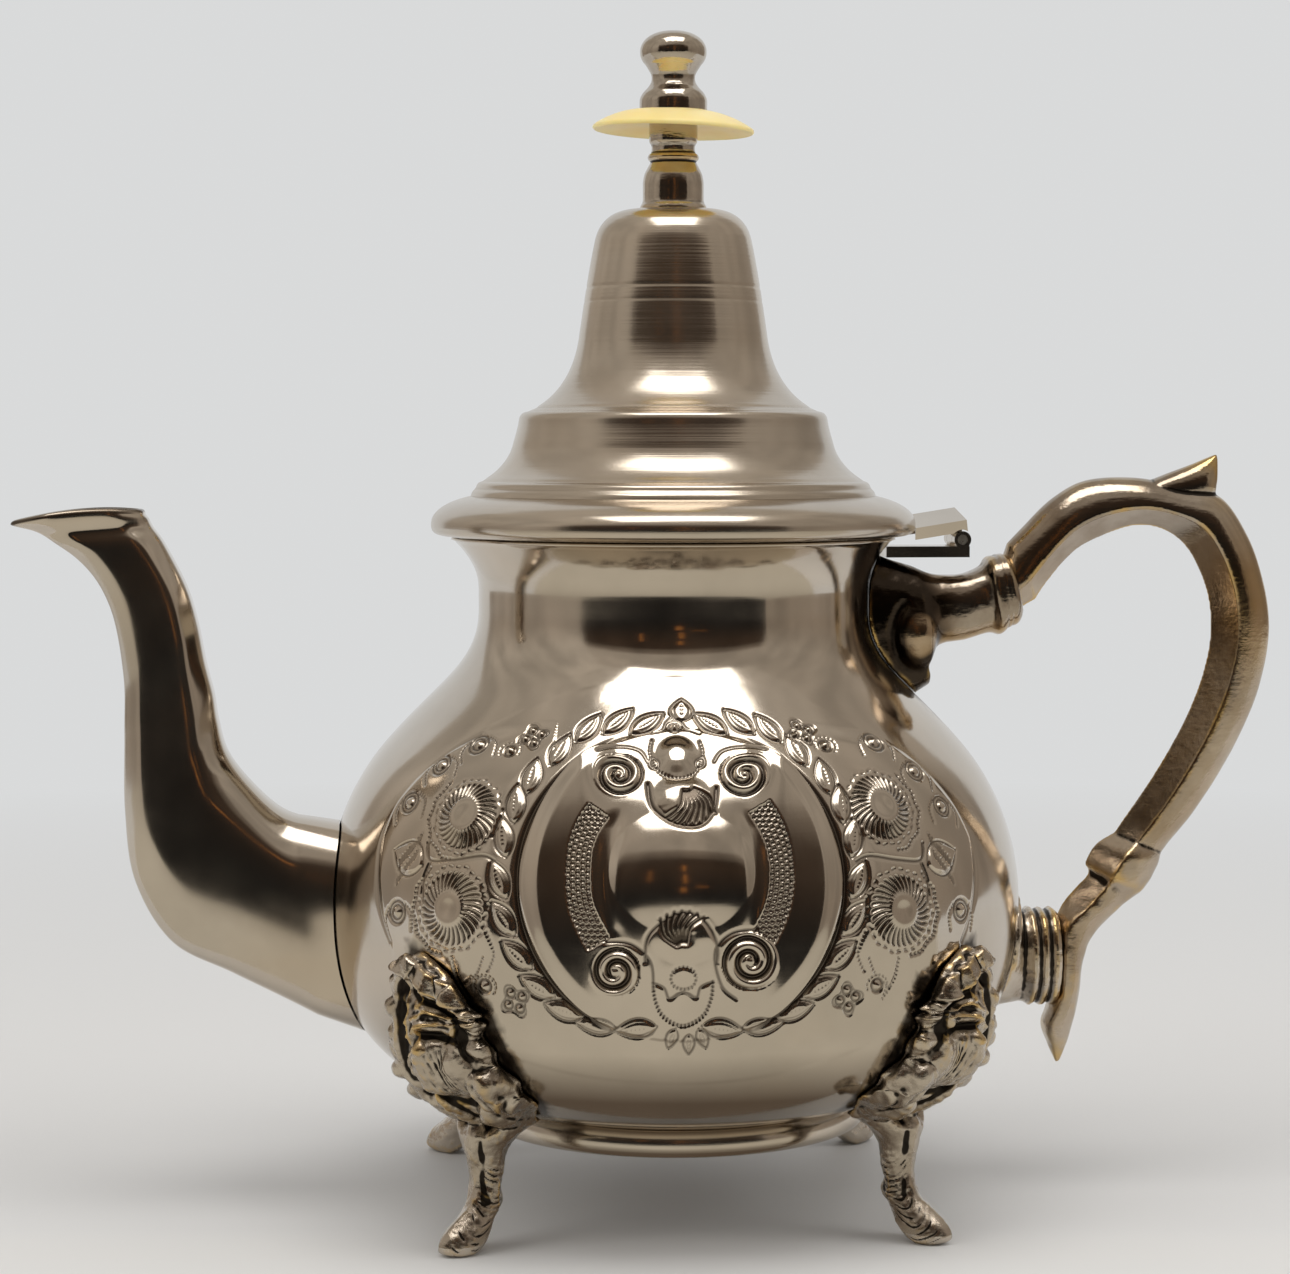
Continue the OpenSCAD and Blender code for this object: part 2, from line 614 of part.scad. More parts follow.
dome_profile = concat(
    [[dome_r, dome_z], [dome_r - 0.3, dome_z + 0.9], [dome_r - 1.0, dome_z + 1.5]],
    [[tier1_r, dome_z + 2.4], [tier1_r - 0.6, tier1_z - 0.5]],
    bez_tail([[tier1_r - 0.6, tier1_z - 0.5], [tier1_r - 3.4, tier1_z + 0.6],
              [tier2_low_r - 1.2, tier1_z + 3.6], [tier2_low_r - 2.0, tier1_z + 6.4]], 7),
    bez_tail([[tier2_low_r - 2.0, tier1_z + 6.4], [tier2_low_r - 2.7, tier1_z + 9.0],
              [tier2_r + 0.2, tier2_z - 3.2], [tier2_r, tier2_z - 1.6]], 4),
    bez_tail([[tier2_r, tier2_z - 1.6], [tier2_r - 0.2, tier2_z - 0.4],
              [tier2_r - 0.8, tier2_z], [tier2_r - 1.8, tier2_z + 0.1]], 3),
    bez_tail([[tier2_r - 1.8, tier2_z + 0.1], [tier2_r - 7.4, tier2_z + 2.6],
              [bell_top_r + 3.9, tier2_z + 7.8], [bell_top_r + 3.0, tier2_z + 15.8]], 10),
    bez_tail([[bell_top_r + 3.0, tier2_z + 15.8], [bell_top_r + 2.2, tier2_z + 21],
              [bell_top_r + 1.4, tier2_z + 27], [bell_top_r, bell_top_z - 6.4]], 5),
    bez_tail([[bell_top_r, bell_top_z - 6.4], [bell_top_r - 0.8, bell_top_z - 2.2],
              [bell_top_r - 3.6, bell_top_z], [stem_r + 1.6, bell_top_z]], 7));

module dome_solid_profile() {
    polygon(concat([[0, dome_z]], dome_profile, [[0, bell_top_z]]));
}

module lid_dome() {
    color(nickel) rotate_extrude($fn = round_fn) difference() {
        band_profile(0, dome_wall) dome_solid_profile();
        translate([0, dome_z - 1]) square([dome_r - dome_wall, 1 + dome_wall * 1.01]);
        square([screw_r + screw_clear, far]);
    }
}

// ---- finial ----

stem_top_z = bell_top_z + stem_h;
stem_neck_r = 4.3;
disc_z = stem_top_z;
knob_z = disc_z + disc_t;
screw_top_z = knob_z + screw_grip;

module turned(pts, bore_r, bore_h) {
    rotate_extrude($fn = 64) difference() {
        polygon(concat([[0, pts[0][1]]], pts, [[0, pts[len(pts) - 1][1]]]));
        translate([0, pts[0][1] - 1]) square([bore_r, bore_h + 1]);
    }
}

module finial_stem() {
    z = bell_top_z;
    color(cast) turned(concat(
        [[stem_r + 0.6, z], [stem_r + 0.5, z + 0.7], [stem_r, z + 1.4], [stem_r, z + 5.4]],
        [[stem_r - 0.3, z + 7.0], [stem_neck_r + 0.6, z + 8.6]],
        arc_pts([stem_neck_r, z + 10.2], 0.8, -80, 80, 6),
        [[stem_neck_r, z + 11.6], [stem_neck_r, z + 12.6], [stem_neck_r + 0.5, z + 13.2],
         [stem_neck_r + 0.5, stem_top_z]]), screw_r + screw_clear, stem_h + 1);
}

module finial_disc() {
    color(cream) rotate_extrude($fn = 96) difference() {
        polygon(concat([[0, disc_z], [stem_neck_r + 1.2, disc_z]],
            bez_tail([[stem_neck_r + 1.2, disc_z], [disc_r - 6, disc_z - 0.1],
                      [disc_r - 2, disc_z - disc_drop * 0.7], [disc_r - 0.4, disc_z - disc_drop]], 6),
            arc_pts([disc_r - 0.5, disc_z - disc_drop + 0.55], 0.5, -60, 70, 4),
            bez_tail([[disc_r - 0.4, disc_z - disc_drop + 1.1], [disc_r - 3, disc_z + disc_t - 1.3],
                      [knob_r + 3, knob_z], [knob_r + 0.3, knob_z]], 6),
            [[0, knob_z]]));
        translate([0, disc_z - 10]) square([screw_r + screw_clear, 30]);
    }
}

module finial_knob() {
    z = knob_z;
    ball_z = z + knob_h - 4.2;
    color(cast) turned(concat(
        [[knob_r + 0.1, z], [knob_r + 0.1, z + 2.4], [knob_r - 0.5, z + 3.6],
         [knob_r - 1.6, z + 4.7], [knob_r - 2.3, z + 5.8], [knob_r - 2.3, z + 7.1]],
        [for (i = [1 : 12]) let (a = -48 + 138 * i / 12)
            [knob_r * pow(max(0.0001, cos(a)), 0.86), ball_z + 4.2 * signed_pow(sin(a), 0.95)]]),
        screw_r + screw_clear / 3, screw_grip + 0.5);
}

washer_z = bell_top_z - dome_wall - washer_t;

module finial_washer() {
    color(steel) translate([0, 0, washer_z]) difference() {
        cylinder(r = washer_r, h = washer_t, $fn = 48);
        translate([0, 0, -1]) cylinder(r = screw_r + screw_clear, h = washer_t + 2, $fn = 48);
    }
}

module finial_screw() {
    color(steel) {
        difference() {
            translate([0, 0, washer_z - screw_head_h])
                cylinder(r = screw_head_r, h = screw_head_h, $fn = 48);
            translate([-screw_head_r - 1, -0.5, washer_z - screw_head_h - 1])
                cube([2 * screw_head_r + 2, 1, 1.9]);
        }
        translate([0, 0, washer_z - 0.01])
            cylinder(r = screw_r, h = screw_top_z - washer_z + 0.01, $fn = 48);
    }
}

// ---- hinge ----

hinge_x = rim_r + hinge_out;
hinge_z = seat_z - hinge_down;
knuckle_third = hinge_l / 2 - outer_knuckle_l;
bar_top_z = hinge_z - 1.3;
bar_end_x = hinge_x + 1.4;

module knuckle(from_y, to_y) {
    translate([hinge_x, from_y, hinge_z]) rotate([-90, 0, 0])
        cylinder(r = knuckle_r, h = to_y - from_y, $fn = 32);
}

module hinge_bore() {
    translate([hinge_x, -hinge_l, hinge_z]) rotate([-90, 0, 0])
        cylinder(r = hinge_pin_r + hinge_clear, h = 2 * hinge_l, $fn = 32);
}

module hinge_body_leaf() {
    side = knuckle_third + knuckle_gap;
    color(nickel) difference() {
        union() {
            translate([neck_r - 5, -hinge_l / 2, bar_top_z - bar_t])
                cube([bar_end_x - neck_r + 5, hinge_l, bar_t]);
            for (s = [-1, 1]) {
                near = s < 0 ? -hinge_l / 2 : side;
                knuckle(near, near + hinge_l / 2 - side);
                translate([hinge_x - 0.6, near, bar_top_z - 0.1])
                    cube([bar_end_x - hinge_x + 0.5, hinge_l / 2 - side, hinge_z - bar_top_z + 0.1]);
            }
        }
        hinge_bore();
        translate([hinge_x - knuckle_r - 0.5, -side, bar_top_z - bar_t - 1])
            cube([knuckle_r + 4, 2 * side, far]);
        translate([0, 0, bar_top_z - bar_t - 1])
            cylinder(r = body_r(bar_top_z) + solder_gap, h = bar_t + 2, $fn = round_fn);
    }
}

module hinge_pin() {
    color(steel) translate([hinge_x, -hinge_l / 2 + 0.2, hinge_z]) rotate([-90, 0, 0])
        cylinder(r = hinge_pin_r, h = hinge_l - 0.4, $fn = 32);
}

plate_end = 0.6;
plate_rise = 5.1;
near_flange = 1.5;

module hinge_lid_leaf() {
    root_x = rim_r - 4;
    reach = hinge_x + plate_end - root_x;
    color(nickel) difference() {
        union() {
            translate([hinge_x + plate_end, 0, hinge_z + plate_rise])
            rotate([plate_roll, -plate_pitch, 0]) {
                translate([-reach, -hinge_l / 2, -plate_t]) cube([reach, hinge_l, plate_t]);
                translate([-reach, -hinge_l / 2, -near_flange - plate_t])
                    cube([reach, plate_t, near_flange + 0.1]);
                translate([-reach, hinge_l / 2 - plate_t, -near_flange * 2 - plate_t])
                    cube([reach, plate_t, near_flange * 2 + 0.1]);
            }
            knuckle(-knuckle_third, knuckle_third);
            translate([hinge_x - 0.9, -knuckle_third, hinge_z])
                cube([1.3, 2 * knuckle_third, plate_rise - 1.2]);
        }
        hinge_bore();
        for (s = [-1, 1])
            translate([hinge_x, s * (knuckle_third + hinge_l / 2), hinge_z]) rotate([90, 0, 0])
                cylinder(r = knuckle_r + plate_gap, h = hinge_l, center = true, $fn = 32);
        translate([0, 0, seat_z - 5]) cylinder(r = rim_r + solder_gap, h = rim_h + 10, $fn = round_fn);
    }
}

body();
foot_ring();
spout();
handle_upper_bracket();
handle_grip();
handle_lower_bracket();
leg_front_left();
leg_front_right();
leg_rear_left();
leg_rear_right();
hinge_body_leaf();
hinge_pin();
hinge_lid_leaf();
lid_rim();
lid_dome();
lid_collar();
finial_stem();
finial_disc();
finial_knob();
finial_screw();
finial_washer();
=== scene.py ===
"""Footed Moroccan teapot: spun body with chased sides, cast spout, handle and feet, hinged bell lid.

Lengths are in millimetres in the CAD frame until mesh() turns them into metres.
"""

import math

import bpy
import numpy as np
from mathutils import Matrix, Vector


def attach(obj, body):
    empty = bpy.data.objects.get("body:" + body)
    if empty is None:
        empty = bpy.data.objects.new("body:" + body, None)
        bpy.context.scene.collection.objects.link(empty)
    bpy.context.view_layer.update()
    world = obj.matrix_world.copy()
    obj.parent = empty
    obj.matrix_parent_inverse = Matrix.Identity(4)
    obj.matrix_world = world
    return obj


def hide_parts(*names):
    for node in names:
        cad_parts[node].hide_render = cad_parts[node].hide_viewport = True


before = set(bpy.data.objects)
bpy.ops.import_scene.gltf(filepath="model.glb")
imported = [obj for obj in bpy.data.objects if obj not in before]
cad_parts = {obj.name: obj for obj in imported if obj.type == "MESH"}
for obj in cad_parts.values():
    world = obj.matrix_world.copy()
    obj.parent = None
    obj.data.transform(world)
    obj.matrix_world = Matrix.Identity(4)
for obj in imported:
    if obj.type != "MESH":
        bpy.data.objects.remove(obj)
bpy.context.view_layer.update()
MM = 0.001
FINE = 1.0

# ---- driving sizes, as in the CAD part ----

belly_r, belly_z, belly_drop, belly_square, bottom_r = 69.0, 61.0, 40.7, 2.45, 20.0
upper_arc_r, shoulder_angle = 47.7, math.radians(41.0)
neck_r, neck_rise, neck_straight, lip_r, lip_rise, body_wall = 38.8, 59.5, 4.0, 44.2, 12.5, 1.0
medallion_raise, medallion_turn, medallion_rise = 0.9, -5.5, 12.0
ring_r, ring_w, ring_h = 38.8, 4.0, 5.3
spout_wall, spout_square, spout_root_w, spout_mouth_w = 1.7, 2.8, 14.0, 6.2
grip_w, upper_bracket_w, barrel_w, barrel_h, barrel_drop, barrel_l = 5.6, 9.5, 8.0, 10.0, 13.6, 9.25
upper_root_rise, upper_root_drop, rib_depth, barrel_ribs = 8.6, 19.2, 0.7, 3
leg_angle, ankle_reach, ankle_d, sole_l, leaf_w, knee_thick = 46.6, 54.0, 7.0, 10.0, 14.0, 6.5
rim_r, rim_h, rim_wall, seat_gap = 48.2, 7.9, 1.2, 0.2
dome_r, dome_wall, lower_tier_h, middle_tier_h = 40.3, 0.9, 3.4, 13.2
bell_h, bell_top_r = 40.0, 15.6
stem_h, stem_r, stem_neck_r = 16.9, 6.05, 4.3
disc_r, disc_t, disc_drop = 16.0, 2.4, 1.7
knob_r, knob_h, screw_r, screw_clear, screw_grip = 6.6, 15.8, 2.0, 0.15, 7.5
pad_gap = 0.28

neck_z = belly_z + neck_rise
lip_z = neck_z + lip_rise
base_z = belly_z - belly_drop
seat_z = lip_z + seat_gap
rim_top_z = seat_z + rim_h
tier1_z = rim_top_z + lower_tier_h
tier2_z = tier1_z + middle_tier_h
bell_top_z = tier2_z + bell_h
disc_z = bell_top_z + stem_h
knob_z = disc_z + disc_t

# ---- sizes of the chasing and the legs ----

medallion_centre = (1.0, 1.2)
medallion_edge = 30.6
flank_lift, cushion_raise, cushion_b = 1.5, 1.3, 2.6
panel_turns = [math.radians(side + medallion_turn) for side in (-90, 90)]
panel_half = math.radians(61)
panel_low_z, panel_high_z = 26, 116
panel_reach_a, panel_reach_b, panel_mid_b = 70, 42, 3

leaf_low_z, leaf_lean_z, leaf_top_z = base_z + 1.5, 36, belly_z - 2
# each leg's angle round the axis, its noise's seed, its leaf's side and its leaf's lean
leg_places = {
    "leg_front_left": (-90 - leg_angle, 31, 1, 2.0),
    "leg_front_right": (-90 + leg_angle, 41, -1, -4.0),
    "leg_rear_left": (90 + leg_angle, 51, -1, -2.0),
    "leg_rear_right": (90 - leg_angle, 61, 1, 2.0)}

# ---- curves ----


def bezier(points, n):
    """n points of a cubic, without its first."""
    t = (np.arange(1, n + 1) / n)[:, None]
    a, b, c, d = (np.array(p, float) for p in points)
    u = 1 - t
    return u**3 * a + 3 * u * u * t * b + 3 * u * t * t * c + t**3 * d


def flowing(start, *curves):
    """Cubics end to end, without the start. Each is a count of points and three more control points."""
    points = []
    for n, *rest in curves:
        points.append(bezier([start, *rest], n))
        start = rest[-1]
    return np.vstack(points)


def catmull(rows, s):
    """Smooth rows of a table at row numbers s."""
    rows = np.array(rows, float)
    last = len(rows) - 1
    i = np.minimum(np.floor(s).astype(int), last - 1)
    t = (s - i)[:, None]
    a, b, c, d = (rows[np.clip(i + k, 0, last)] for k in (-1, 0, 1, 2))
    cubic = 1.5 * (b - c) + (d - a) / 2
    return b + t * ((c - a) / 2 + t * (a - 2.5 * b + 2 * c - d / 2 + t * cubic))


def step(x, lo, hi):
    """0 below lo, 1 above hi, smooth between."""
    t = np.clip((x - lo) / (hi - lo), 0, 1)
    return t * t * (3 - 2 * t)


def columns(*values):
    """Points or rows of a table from their columns."""
    return np.stack(np.broadcast_arrays(*values), -1)


def hump(x, width):
    """1 where x is 0, falling off to both sides."""
    return np.exp(-((x / width) ** 2))


def widened(w, rows):
    """A table whose last column is given as more or less than w."""
    return [[*row[:-1], w + row[-1]] for row in rows]


def row_at(rows, s):
    """A table's smooth row at row number s."""
    return catmull(rows, np.array([s]))[0]


def even(points, spacing):
    """The polyline again, with points the given distance apart. spacing may be a function of place."""
    points = np.array(points, float)
    along = np.r_[0, np.cumsum(np.linalg.norm(np.diff(points, axis=0), axis=1))]
    if callable(spacing):
        s = [0.0]
        while s[-1] < along[-1]:
            here = [np.interp(s[-1], along, points[:, k]) for k in range(points.shape[1])]
            s.append(s[-1] + spacing(here))
        s = np.array(s) * along[-1] / s[-1]
    else:
        s = np.linspace(0, along[-1], max(2, int(along[-1] / spacing) + 1))
    return np.stack([np.interp(s, along, points[:, k]) for k in range(points.shape[1])], 1)


def rounded(points, passes=2, most=0.3):
    """Corners cut a little, by at most the given length in mm, as on a turned piece."""
    points = np.array(points, float)
    for _ in range(passes):
        a, b = points[:-1], points[1:]
        length = np.linalg.norm(b - a, axis=1, keepdims=True)
        keep = np.minimum(0.25, most / np.maximum(length, 1e-6))
        cut = np.stack([a + keep * (b - a), b - keep * (b - a)], 1).reshape(-1, 2)
        points = np.vstack([points[:1], cut, points[-1:]])
    return points


def normals_2d(points):
    """Unit normals on the right of a profile that runs upward, so away from the axis."""
    t = np.gradient(points, axis=0)
    t /= np.maximum(np.linalg.norm(t, axis=1, keepdims=True), 1e-9)
    return columns(t[:, 1], -t[:, 0])


def noise(p, cell, seed):
    """Smooth noise from -1 to 1 at points p, with features about one cell wide."""
    table = np.random.default_rng(seed).uniform(-1, 1, (32, 32, 32))
    q = np.asarray(p) / cell
    i = np.floor(q).astype(int)
    f = q - i
    f = f * f * (3 - 2 * f)
    out = 0
    for dx in (0, 1):
        for dy in (0, 1):
            for dz in (0, 1):
                w = np.abs(1 - dx - f[..., 0]) * np.abs(1 - dy - f[..., 1]) * np.abs(1 - dz - f[..., 2])
                out = out + w * table[(i[..., 0] + dx) % 32, (i[..., 1] + dy) % 32, (i[..., 2] + dz) % 32]
    return out


# ---- meshes ----


def grid(rings, close_ends=False):
    """Points and faces of a skin over rings of points, each ring closed."""
    rings = np.asarray(rings, float)
    m, n = rings.shape[:2]
    k, i = np.meshgrid(np.arange(m - 1), np.arange(n), indexing="ij")
    j = (i + 1) % n
    faces = columns(k * n + i, k * n + j, (k + 1) * n + j, (k + 1) * n + i).reshape(-1, 4).tolist()
    points = rings.reshape(-1, 3)
    if close_ends:
        points = np.vstack([points, rings[0].mean(0), rings[-1].mean(0)])
        low, high = m * n, m * n + 1
        faces += [[low, (i + 1) % n, i] for i in range(n)]
        faces += [[high, (m - 1) * n + i, (m - 1) * n + (i + 1) % n] for i in range(n)]
    return points, faces


def joined(parts):
    """Several (points, faces) pairs as one."""
    points, faces, base = [], [], 0
    for p, f in parts:
        points.append(p)
        faces += [[v + base for v in face] for face in f]
        base += len(p)
    return np.vstack(points), faces


def mark(obj, **marks):
    """Gives obj's points named values, which the materials read. A single number holds everywhere."""
    for name, values in marks.items():
        layer = obj.data.attributes.new(name, "FLOAT", "POINT")
        values = np.broadcast_to(np.asarray(values, np.float32), len(obj.data.vertices))
        layer.data.foreach_set("value", np.ascontiguousarray(values))


def mesh(name, points, faces):
    data = bpy.data.meshes.new(name)
    data.from_pydata((np.asarray(points) * MM).tolist(), [], faces)
    data.validate()
    data.update()
    data.shade_smooth()
    obj = bpy.data.objects.new(name, data)
    bpy.context.scene.collection.objects.link(obj)
    return obj


def baked(obj):
    """obj with its modifiers made part of its mesh."""
    bpy.context.view_layer.update()
    shaped = obj.evaluated_get(bpy.context.evaluated_depsgraph_get())
    old = obj.data
    obj.data = bpy.data.meshes.new_from_object(shaped)
    obj.modifiers.clear()
    bpy.data.meshes.remove(old)
    obj.data.shade_smooth()
    return obj


def fused(obj, voxel, smooth=3):
    """obj remade as one closed skin, as a casting is."""
    remesh = obj.modifiers.new("skin", "REMESH")
    remesh.mode, remesh.voxel_size = "VOXEL", voxel * MM / FINE
    if smooth:
        soften = obj.modifiers.new("soften", "SMOOTH")
        soften.factor, soften.iterations = 0.5, smooth
    return baked(obj)


def vertex_arrays(data):
    """Points in millimetres, normals, and each edge's two ends."""
    p = np.empty(len(data.vertices) * 3, np.float32)
    data.vertices.foreach_get("co", p)
    n = np.empty(len(data.vertices) * 3, np.float32)
    data.vertex_normals.foreach_get("vector", n)
    e = np.empty(len(data.edges) * 2, np.int32)
    data.edges.foreach_get("vertices", e)
    return p.reshape(-1, 3) / MM, n.reshape(-1, 3), e.reshape(-1, 2)


def set_points(obj, p):
    """Moves the points of obj to p, in millimetres."""
    obj.data.vertices.foreach_set("co", (p * MM).astype(np.float32).ravel())
    obj.data.update()


def softened(obj, where, times):
    """Smooths obj where where(points) is near 1."""
    p, _, e = vertex_arrays(obj.data)
    a, b = e[:, 0], e[:, 1]
    count = np.bincount(np.r_[a, b], minlength=len(p)) + 1e-6
    share = np.asarray(where(p))[:, None]
    for _ in range(times):
        around = np.stack([np.bincount(np.r_[a, b], np.r_[p[b, k], p[a, k]], minlength=len(p)) / count
                           for k in range(3)], 1)
        p = p + 0.6 * share * (around - p)
    set_points(obj, p)


def sculpt(obj, height):
    """Moves each point along its normal by height(points), in millimetres."""
    p, n, _ = vertex_arrays(obj.data)
    set_points(obj, p + n * np.asarray(height(p))[:, None])


def age(obj, scale, extra=None):
    """Marks worn edges and dark hollows from the curvature. scale is the radius that counts as sharp."""
    p, n, e = vertex_arrays(obj.data)
    a, b = e[:, 0], e[:, 1]
    d = p[b] - p[a]
    length2 = np.maximum((d**2).sum(1), 1e-6)
    count = np.bincount(np.r_[a, b], minlength=len(p)) + 1e-6
    bend = np.bincount(np.r_[a, b], np.r_[(d * n[a]).sum(1) / length2, -(d * n[b]).sum(1) / length2],
                       minlength=len(p)) / count
    for _ in range(6):
        around = np.bincount(np.r_[a, b], np.r_[bend[b], bend[a]], minlength=len(p)) / count
        bend = 0.5 * bend + 0.5 * around
    hollow = np.clip(2 * bend * scale, 0, 1)
    if extra is not None:
        hollow = np.maximum(hollow, extra)
    mark(obj, hollow=hollow, worn=np.clip(-2 * bend * scale, 0, 1))


def round_axis(profile, turn):
    """Rings round the axis over a profile of (radius, height) points, with a point at each angle of turn."""
    return columns(profile[:, :1] * np.cos(turn), profile[:, :1] * np.sin(turn),
                   np.repeat(profile[:, 1:], len(turn), 1))


def revolve(name, profile, sides=256):
    sides = int(sides * FINE)
    turn = math.tau * np.arange(sides) / sides
    return mesh(name, *grid(round_axis(np.asarray(profile, float), turn)))


# ---- body ----


def body_profile():
    """The body's outer profile from the edge of its flat bottom to its lip."""
    a = np.linspace(0, math.pi / 2, 181)
    lower = columns(bottom_r + (belly_r - bottom_r) * np.sin(a) ** (2 / belly_square),
                    belly_z - belly_drop * np.abs(np.cos(a)) ** (2 / belly_square))
    a = np.linspace(0, shoulder_angle, 91)[1:]
    centre = belly_r - upper_arc_r
    upper = columns(centre + upper_arc_r * np.cos(a), belly_z + upper_arc_r * np.sin(a))
    way = np.array([-math.sin(shoulder_angle), math.cos(shoulder_angle)])
    low, high = neck_z - neck_straight / 2, neck_z + neck_straight / 2
    shoulder = bezier([upper[-1], upper[-1] + 16 * way, (neck_r, neck_z - 12.5), (neck_r, low)], 90)
    flare = bezier([(neck_r, high), (neck_r, high + 3.4), (lip_r - 4.2, lip_z - 4.3), (lip_r, lip_z)], 60)
    return np.vstack([lower, upper, shoulder, [[neck_r, high]], flare])


outer = body_profile()


def body_r(z):
    return np.interp(z, outer[:, 1], outer[:, 0])


class Chasing:
    """Hammered and punched relief over places (a, b): a to the right and b up from the medallion's centre."""

    def __init__(self, a, b):
        self.a, self.b = a, b
        self.raised = np.zeros_like(a)
        self.cut = np.zeros_like(a)

    def near(self, x, y, reach):
        return np.nonzero((np.abs(self.a - x) < reach) & (np.abs(self.b - y) < reach))[0]

    def polar(self, x, y, reach):
        """The places within reach of (x, y), and how far and which way they lie from it."""
        k = self.near(x, y, reach)
        dx, dy = self.a[k] - x, self.b[k] - y
        return k, np.hypot(dx, dy), np.arctan2(dy, dx)

    def beside(self, pts, margin):
        """The places near a polyline, their distance from it, place along it and side, and its length."""
        mid = (pts.max(0) + pts.min(0)) / 2
        k = self.near(mid[0], mid[1], (pts.max(0) - pts.min(0)).max() / 2 + margin)
        best, place, side = np.full(len(k), 9.0), np.zeros(len(k)), np.zeros(len(k))
        start = 0.0
        for p, q in zip(pts[:-1], pts[1:]):
            length = max(np.hypot(*(q - p)), 1e-6)
            d = (q - p) / length
            dx, dy = self.a[k] - p[0], self.b[k] - p[1]
            t = np.clip(dx * d[0] + dy * d[1], 0, length)
            gap = np.hypot(dx - t * d[0], dy - t * d[1])
            closer = gap < best
            best[closer], place[closer] = gap[closer], start + t[closer]
            side[closer] = (dx * d[1] - dy * d[0])[closer]
            start += length
        return k, best, place, side, start

    def carve(self, k, depth):
        self.cut[k] = np.maximum(self.cut[k], depth)

    def swell(self, x, y, rx, ry, height, flat):
        """A smooth oval mound, level over the inner share flat."""
        k = self.near(x, y, max(rx, ry))
        rho = np.hypot((self.a[k] - x) / rx, (self.b[k] - y) / ry)
        self.raised[k] += height * (1 - step(rho, flat, 1.0))

    def line(self, points, depth=0.3, width=0.3, beads=0.0, closed=False):
        """A traced line. beads is the pitch of the tracer's marks, or 0 for a plain line."""
        pts = np.array(points, float)
        if len(pts) > 2:
            if closed:
                pts = np.vstack([pts, pts[:1]])
            pts = catmull(pts, np.linspace(0, len(pts) - 1, 6 * len(pts)))
        k, best, place, _, _ = self.beside(pts, 2)
        shape = hump(best, width)
        if beads:
            shape *= 0.35 + 0.65 * (0.5 + 0.5 * np.cos(math.tau * place / beads))
        self.carve(k, depth * shape)

    def leaf(self, x, y, length, width, turn, depth=0.34, beads=0.9):
        """A pointed leaf with a double outline and a beaded vein. turn is the way its tip points."""
        k = self.near(x, y, length)
        c, s = math.cos(turn), math.sin(turn)
        dx, dy = self.a[k] - x, self.b[k] - y
        u, v = c * dx + s * dy, c * dy - s * dx
        t = u / length + 0.5
        inside = (t > -0.04) & (t < 1.04)
        half = width / 2 * np.sin(math.pi * np.clip(t, 0, 1) ** 0.85) ** 0.8
        edge = np.abs(v) - half
        rim = hump(edge, 0.3)
        inner = 0.55 * hump(edge + 0.75, 0.24) * step(t, 0.1, 0.25) * (1 - step(t, 0.8, 0.95))
        vein = (0.6 * hump(v, 0.26) * step(t, 0.18, 0.3) * (1 - step(t, 0.68, 0.8))
                * (0.5 + 0.5 * np.cos(math.tau * u / beads)))
        self.carve(k, depth * inside * np.maximum(np.maximum(rim, inner), vein))
        self.raised[k] += 0.3 * inside * step(-edge, 0.1, 1.1)

    def spiral(self, x, y, r, turns, start, hand):
        """A rolled scroll: one groove and one ridge that wind in to a dot."""
        k, rho, phi = self.polar(x, y, r * 1.5)
        pitch = r / turns
        winding = rho / pitch - (hand * phi - start) / math.tau
        groove = np.abs(winding - np.round(winding)) * pitch
        window = (rho > 0.9) & (rho / pitch < turns + 0.35)
        self.carve(k, 0.62 * window * hump(groove, 0.42))
        self.raised[k] += 0.55 * window * (1 - hump(groove, 0.8)) * (1 - step(rho, r, r * 1.25))
        self.raised[k] += 0.5 * hump(rho, 0.7)

    def flower(self, x, y, r, rays=30, lean=0.35):
        """A round flower: a smooth middle and curved rays out to a beaded, wavy edge."""
        k, rho, phi = self.polar(x, y, r * 1.4)
        wave = 0.5 + 0.5 * np.cos(rays * (phi + lean * (rho / r) ** 2))
        self.carve(k, 0.5 * wave * step(rho, 0.4 * r, 0.56 * r) * (1 - step(rho, 0.88 * r, r)))
        ragged = r * (1.08 + 0.03 * np.cos(11 * phi))
        self.carve(k, 0.3 * hump(rho - ragged, 0.34) * (0.55 + 0.45 * np.cos(28 * phi)))
        self.raised[k] += 1.05 * (1 - step(rho, 0.25 * r, 1.15 * r))
        self.raised[k] -= 0.3 * (1 - step(rho, 0, 0.5 * r))

    def ring(self, x, y, r, dot=0.5):
        """A ring punch with a boss in its middle."""
        k, rho, _ = self.polar(x, y, r * 2.5)
        self.carve(k, 0.36 * hump(rho - r, 0.3))
        self.raised[k] += dot * 0.6 * hump(rho, 0.55 * r)

    def blossom(self, x, y, turn=0.0):
        """Four rings round a middle, inside one lobed outline."""
        for q in range(4):
            angle = turn + math.pi / 2 * q
            self.ring(x + 1.75 * math.cos(angle), y + 1.75 * math.sin(angle), 0.95)
        k, rho, phi = self.polar(x, y, 6)
        lobes = 2.75 + 0.65 * np.cos(4 * (phi - turn))
        self.carve(k, 0.3 * hump(rho - lobes, 0.28))

